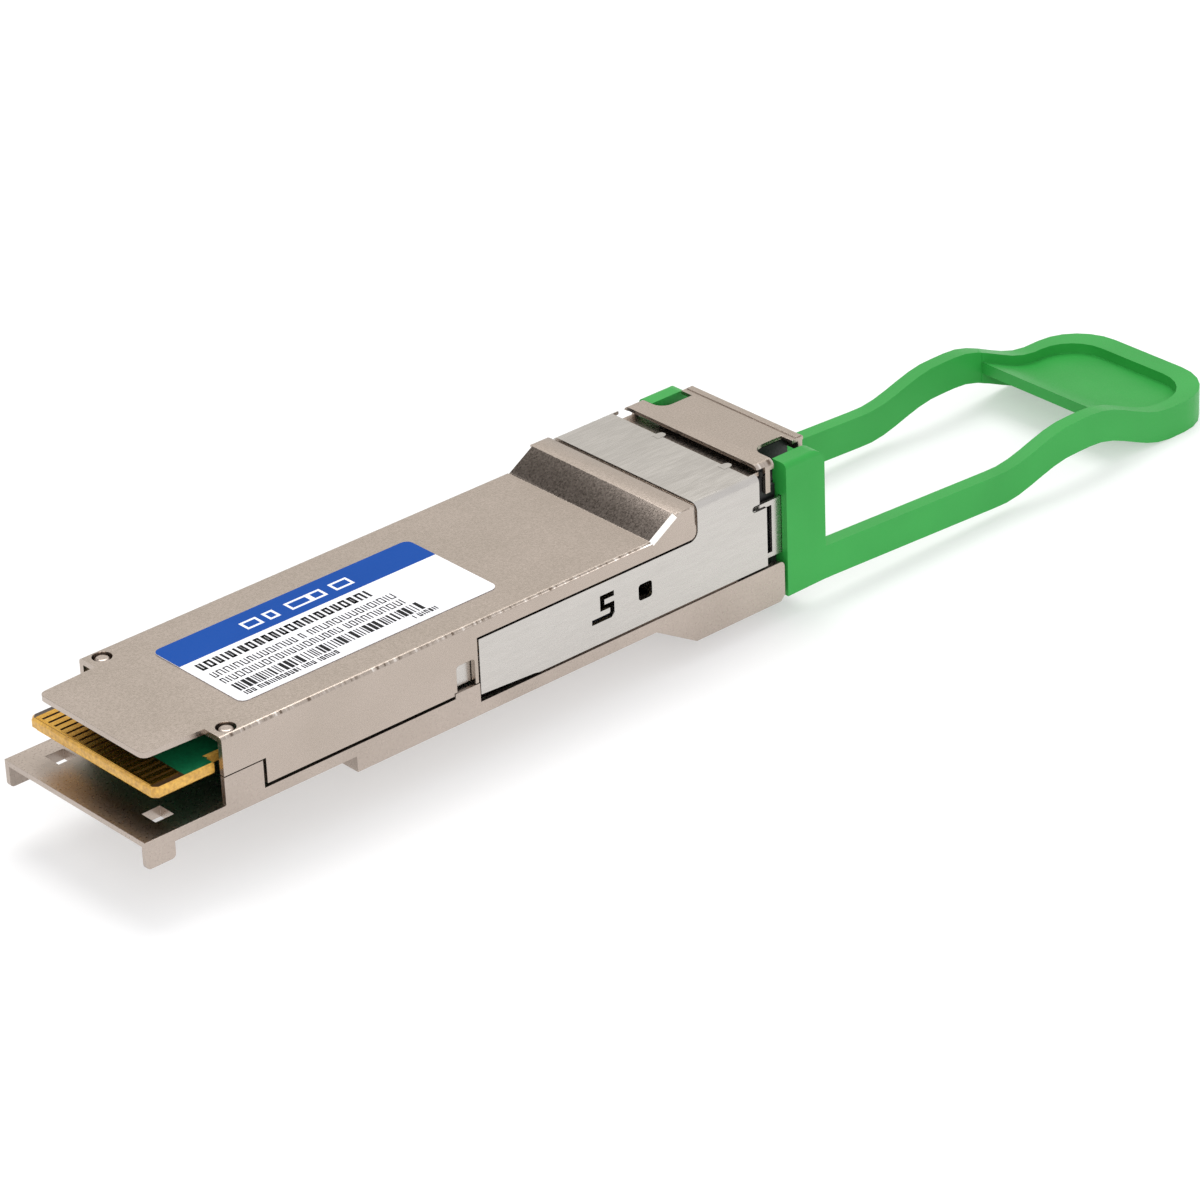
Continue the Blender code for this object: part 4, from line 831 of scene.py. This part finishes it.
@dataclass
class Studio:
    """Pale floor, soft light and the camera."""

    azimuth: float = -40.77
    elevation: float = 28.47
    roll: float = -2.32
    distance: float = 424.0 * MM
    lens: float = 153.1
    target: Vector = field(default_factory=lambda: Vector((-16.6, 0.0, 8.75)) * MM)
    offset: tuple[float, float] = (7.72 * MM, -1.04 * MM)
    floor_drop: float = 0.05 * MM

    def build(self) -> None:
        """Place the floor, the lights and the camera."""
        bpy.context.scene.view_settings.view_transform = "Standard"
        self.add_floor()
        self.add_world()
        self.add_softbox("overhead_softbox", Vector((0.15, 0.25, 0.7)), 0.5, 2.5)
        self.add_softbox("side_softbox", Vector((-0.35, -0.6, 0.35)), 0.4, 1.0)
        self.add_camera()

    def add_floor(self) -> None:
        """Lay a frosted, faintly lit table just under the module."""
        bm = bmesh.new()
        place = Matrix.Translation(Vector((0.0, 0.0, -self.floor_drop)))
        bmesh.ops.create_grid(bm, x_segments=1, y_segments=1, size=3.0, matrix=place)
        mesh = bpy.data.meshes.new("studio_floor")
        bm.to_mesh(mesh)
        bm.free()
        made, tree, shader = new_material("frosted_light_table")
        place = object_pattern(tree)
        tone = add(tree, "ShaderNodeTexNoise", inputs={"Vector": place, "Scale": 3.0})
        colour = ramp(tree, tone.outputs["Fac"], ((0.3, "#CACACA"), (0.7, "#CDCDCD")))
        tree.links.new(colour.outputs["Color"], shader.inputs["Base Color"])
        shader.inputs["Emission Color"].default_value = linear("#FFFFFF")
        shader.inputs["Emission Strength"].default_value = 0.4
        shader.inputs["Roughness"].default_value = 0.9
        shader.inputs["Specular IOR Level"].default_value = 0.0
        mesh.materials.append(made)
        floor = bpy.data.objects.new("studio_floor", mesh)
        bpy.context.scene.collection.objects.link(floor)

    def add_world(self) -> None:
        """Surround the module with white, a pale grey veil over the cover and one dark flag."""
        world = bpy.data.worlds.new("studio_surround")
        bpy.context.scene.world = world
        world.use_nodes = True
        tree = world.node_tree
        background = tree.nodes["Background"]
        coordinates = add(tree, "ShaderNodeTexCoord")
        flag = self.card(tree, coordinates.outputs["Generated"], Vector((-0.151, 0.666, 0.730)), 0.86, 0.97)
        veil = self.card(tree, coordinates.outputs["Generated"], Vector((0.574, 0.666, 0.477)), 0.6, 0.95)
        sky = add(
            tree,
            "ShaderNodeMix",
            {"data_type": "RGBA"},
            {0: veil, 6: linear("#FDFDFF"), 7: linear("#EFEDE9")},
        )
        colour = add(
            tree,
            "ShaderNodeMix",
            {"data_type": "RGBA"},
            {0: flag, 6: sky.outputs[2], 7: linear("#3A3532")},
        )
        tree.links.new(colour.outputs[2], background.inputs["Color"])
        background.inputs["Strength"].default_value = 1.0

    @staticmethod
    def card(
        tree: bpy.types.NodeTree, direction: Any, facing: Vector, edge: float, core: float
    ) -> bpy.types.Node:
        """Give a soft disc in one direction.

        Args:
            tree: the world's node tree.
            direction: socket of the ray's direction.
            facing: where the disc is.
            edge: cosine where it starts.
            core: cosine where it is full.

        Returns:
            A node whose value is one at the disc's middle.
        """
        unit = facing.normalized()
        dot = add(tree, "ShaderNodeVectorMath", {"operation": "DOT_PRODUCT"}, {0: direction, 1: tuple(unit)})
        return add(
            tree,
            "ShaderNodeMapRange",
            {"interpolation_type": "SMOOTHSTEP"},
            {"Value": dot.outputs["Value"], "From Min": edge, "From Max": core},
        )

    def add_softbox(self, name: str, place: Vector, size: float, power: float) -> None:
        """Hang one soft light that faces the module.

        Args:
            name: the light's name.
            place: where it hangs, in metres.
            size: its width.
            power: its power in watts.
        """
        light = bpy.data.lights.new(name, "AREA")
        light.shape = "DISK"
        light.size = size
        light.energy = power
        lamp = bpy.data.objects.new(name, light)
        lamp.location = place
        lamp.rotation_euler = (self.target - place).to_track_quat("-Z", "Y").to_euler()
        bpy.context.scene.collection.objects.link(lamp)

    def add_camera(self) -> None:
        """Stand the camera at the viewing angle."""
        azimuth, elevation, roll = (math.radians(a) for a in (self.azimuth, self.elevation, self.roll))
        back = Vector(
            (
                math.sin(azimuth) * math.cos(elevation),
                -math.cos(azimuth) * math.cos(elevation),
                math.sin(elevation),
            )
        )
        right = Vector((0, 0, 1)).cross(back).normalized()
        up = back.cross(right)
        turned_right = right * math.cos(roll) + up * math.sin(roll)
        turned_up = up * math.cos(roll) - right * math.sin(roll)
        place = self.target + back * self.distance
        place += turned_right * self.offset[0] + turned_up * self.offset[1]
        turn = Matrix((turned_right, turned_up, back)).transposed().to_4x4()
        data = bpy.data.cameras.new("product_camera")
        data.lens = self.lens
        data.sensor_width = 36.0
        data.clip_start = 0.01
        camera = bpy.data.objects.new("product_camera", data)
        camera.matrix_world = Matrix.Translation(place) @ turn
        bpy.context.scene.collection.objects.link(camera)
        bpy.context.scene.camera = camera


def main() -> None:
    """Build every sub-assembly in order."""
    logging.basicConfig(level=logging.INFO, format="%(message)s")
    Shells(Body.MODULE).build()
    Latch(Body.LATCH).build()
    Receptacle(Body.MODULE).build()
    Board(Body.MODULE).build()
    Label(Body.MODULE).build()
    Studio().build()


if __name__ == "__main__":
    main()
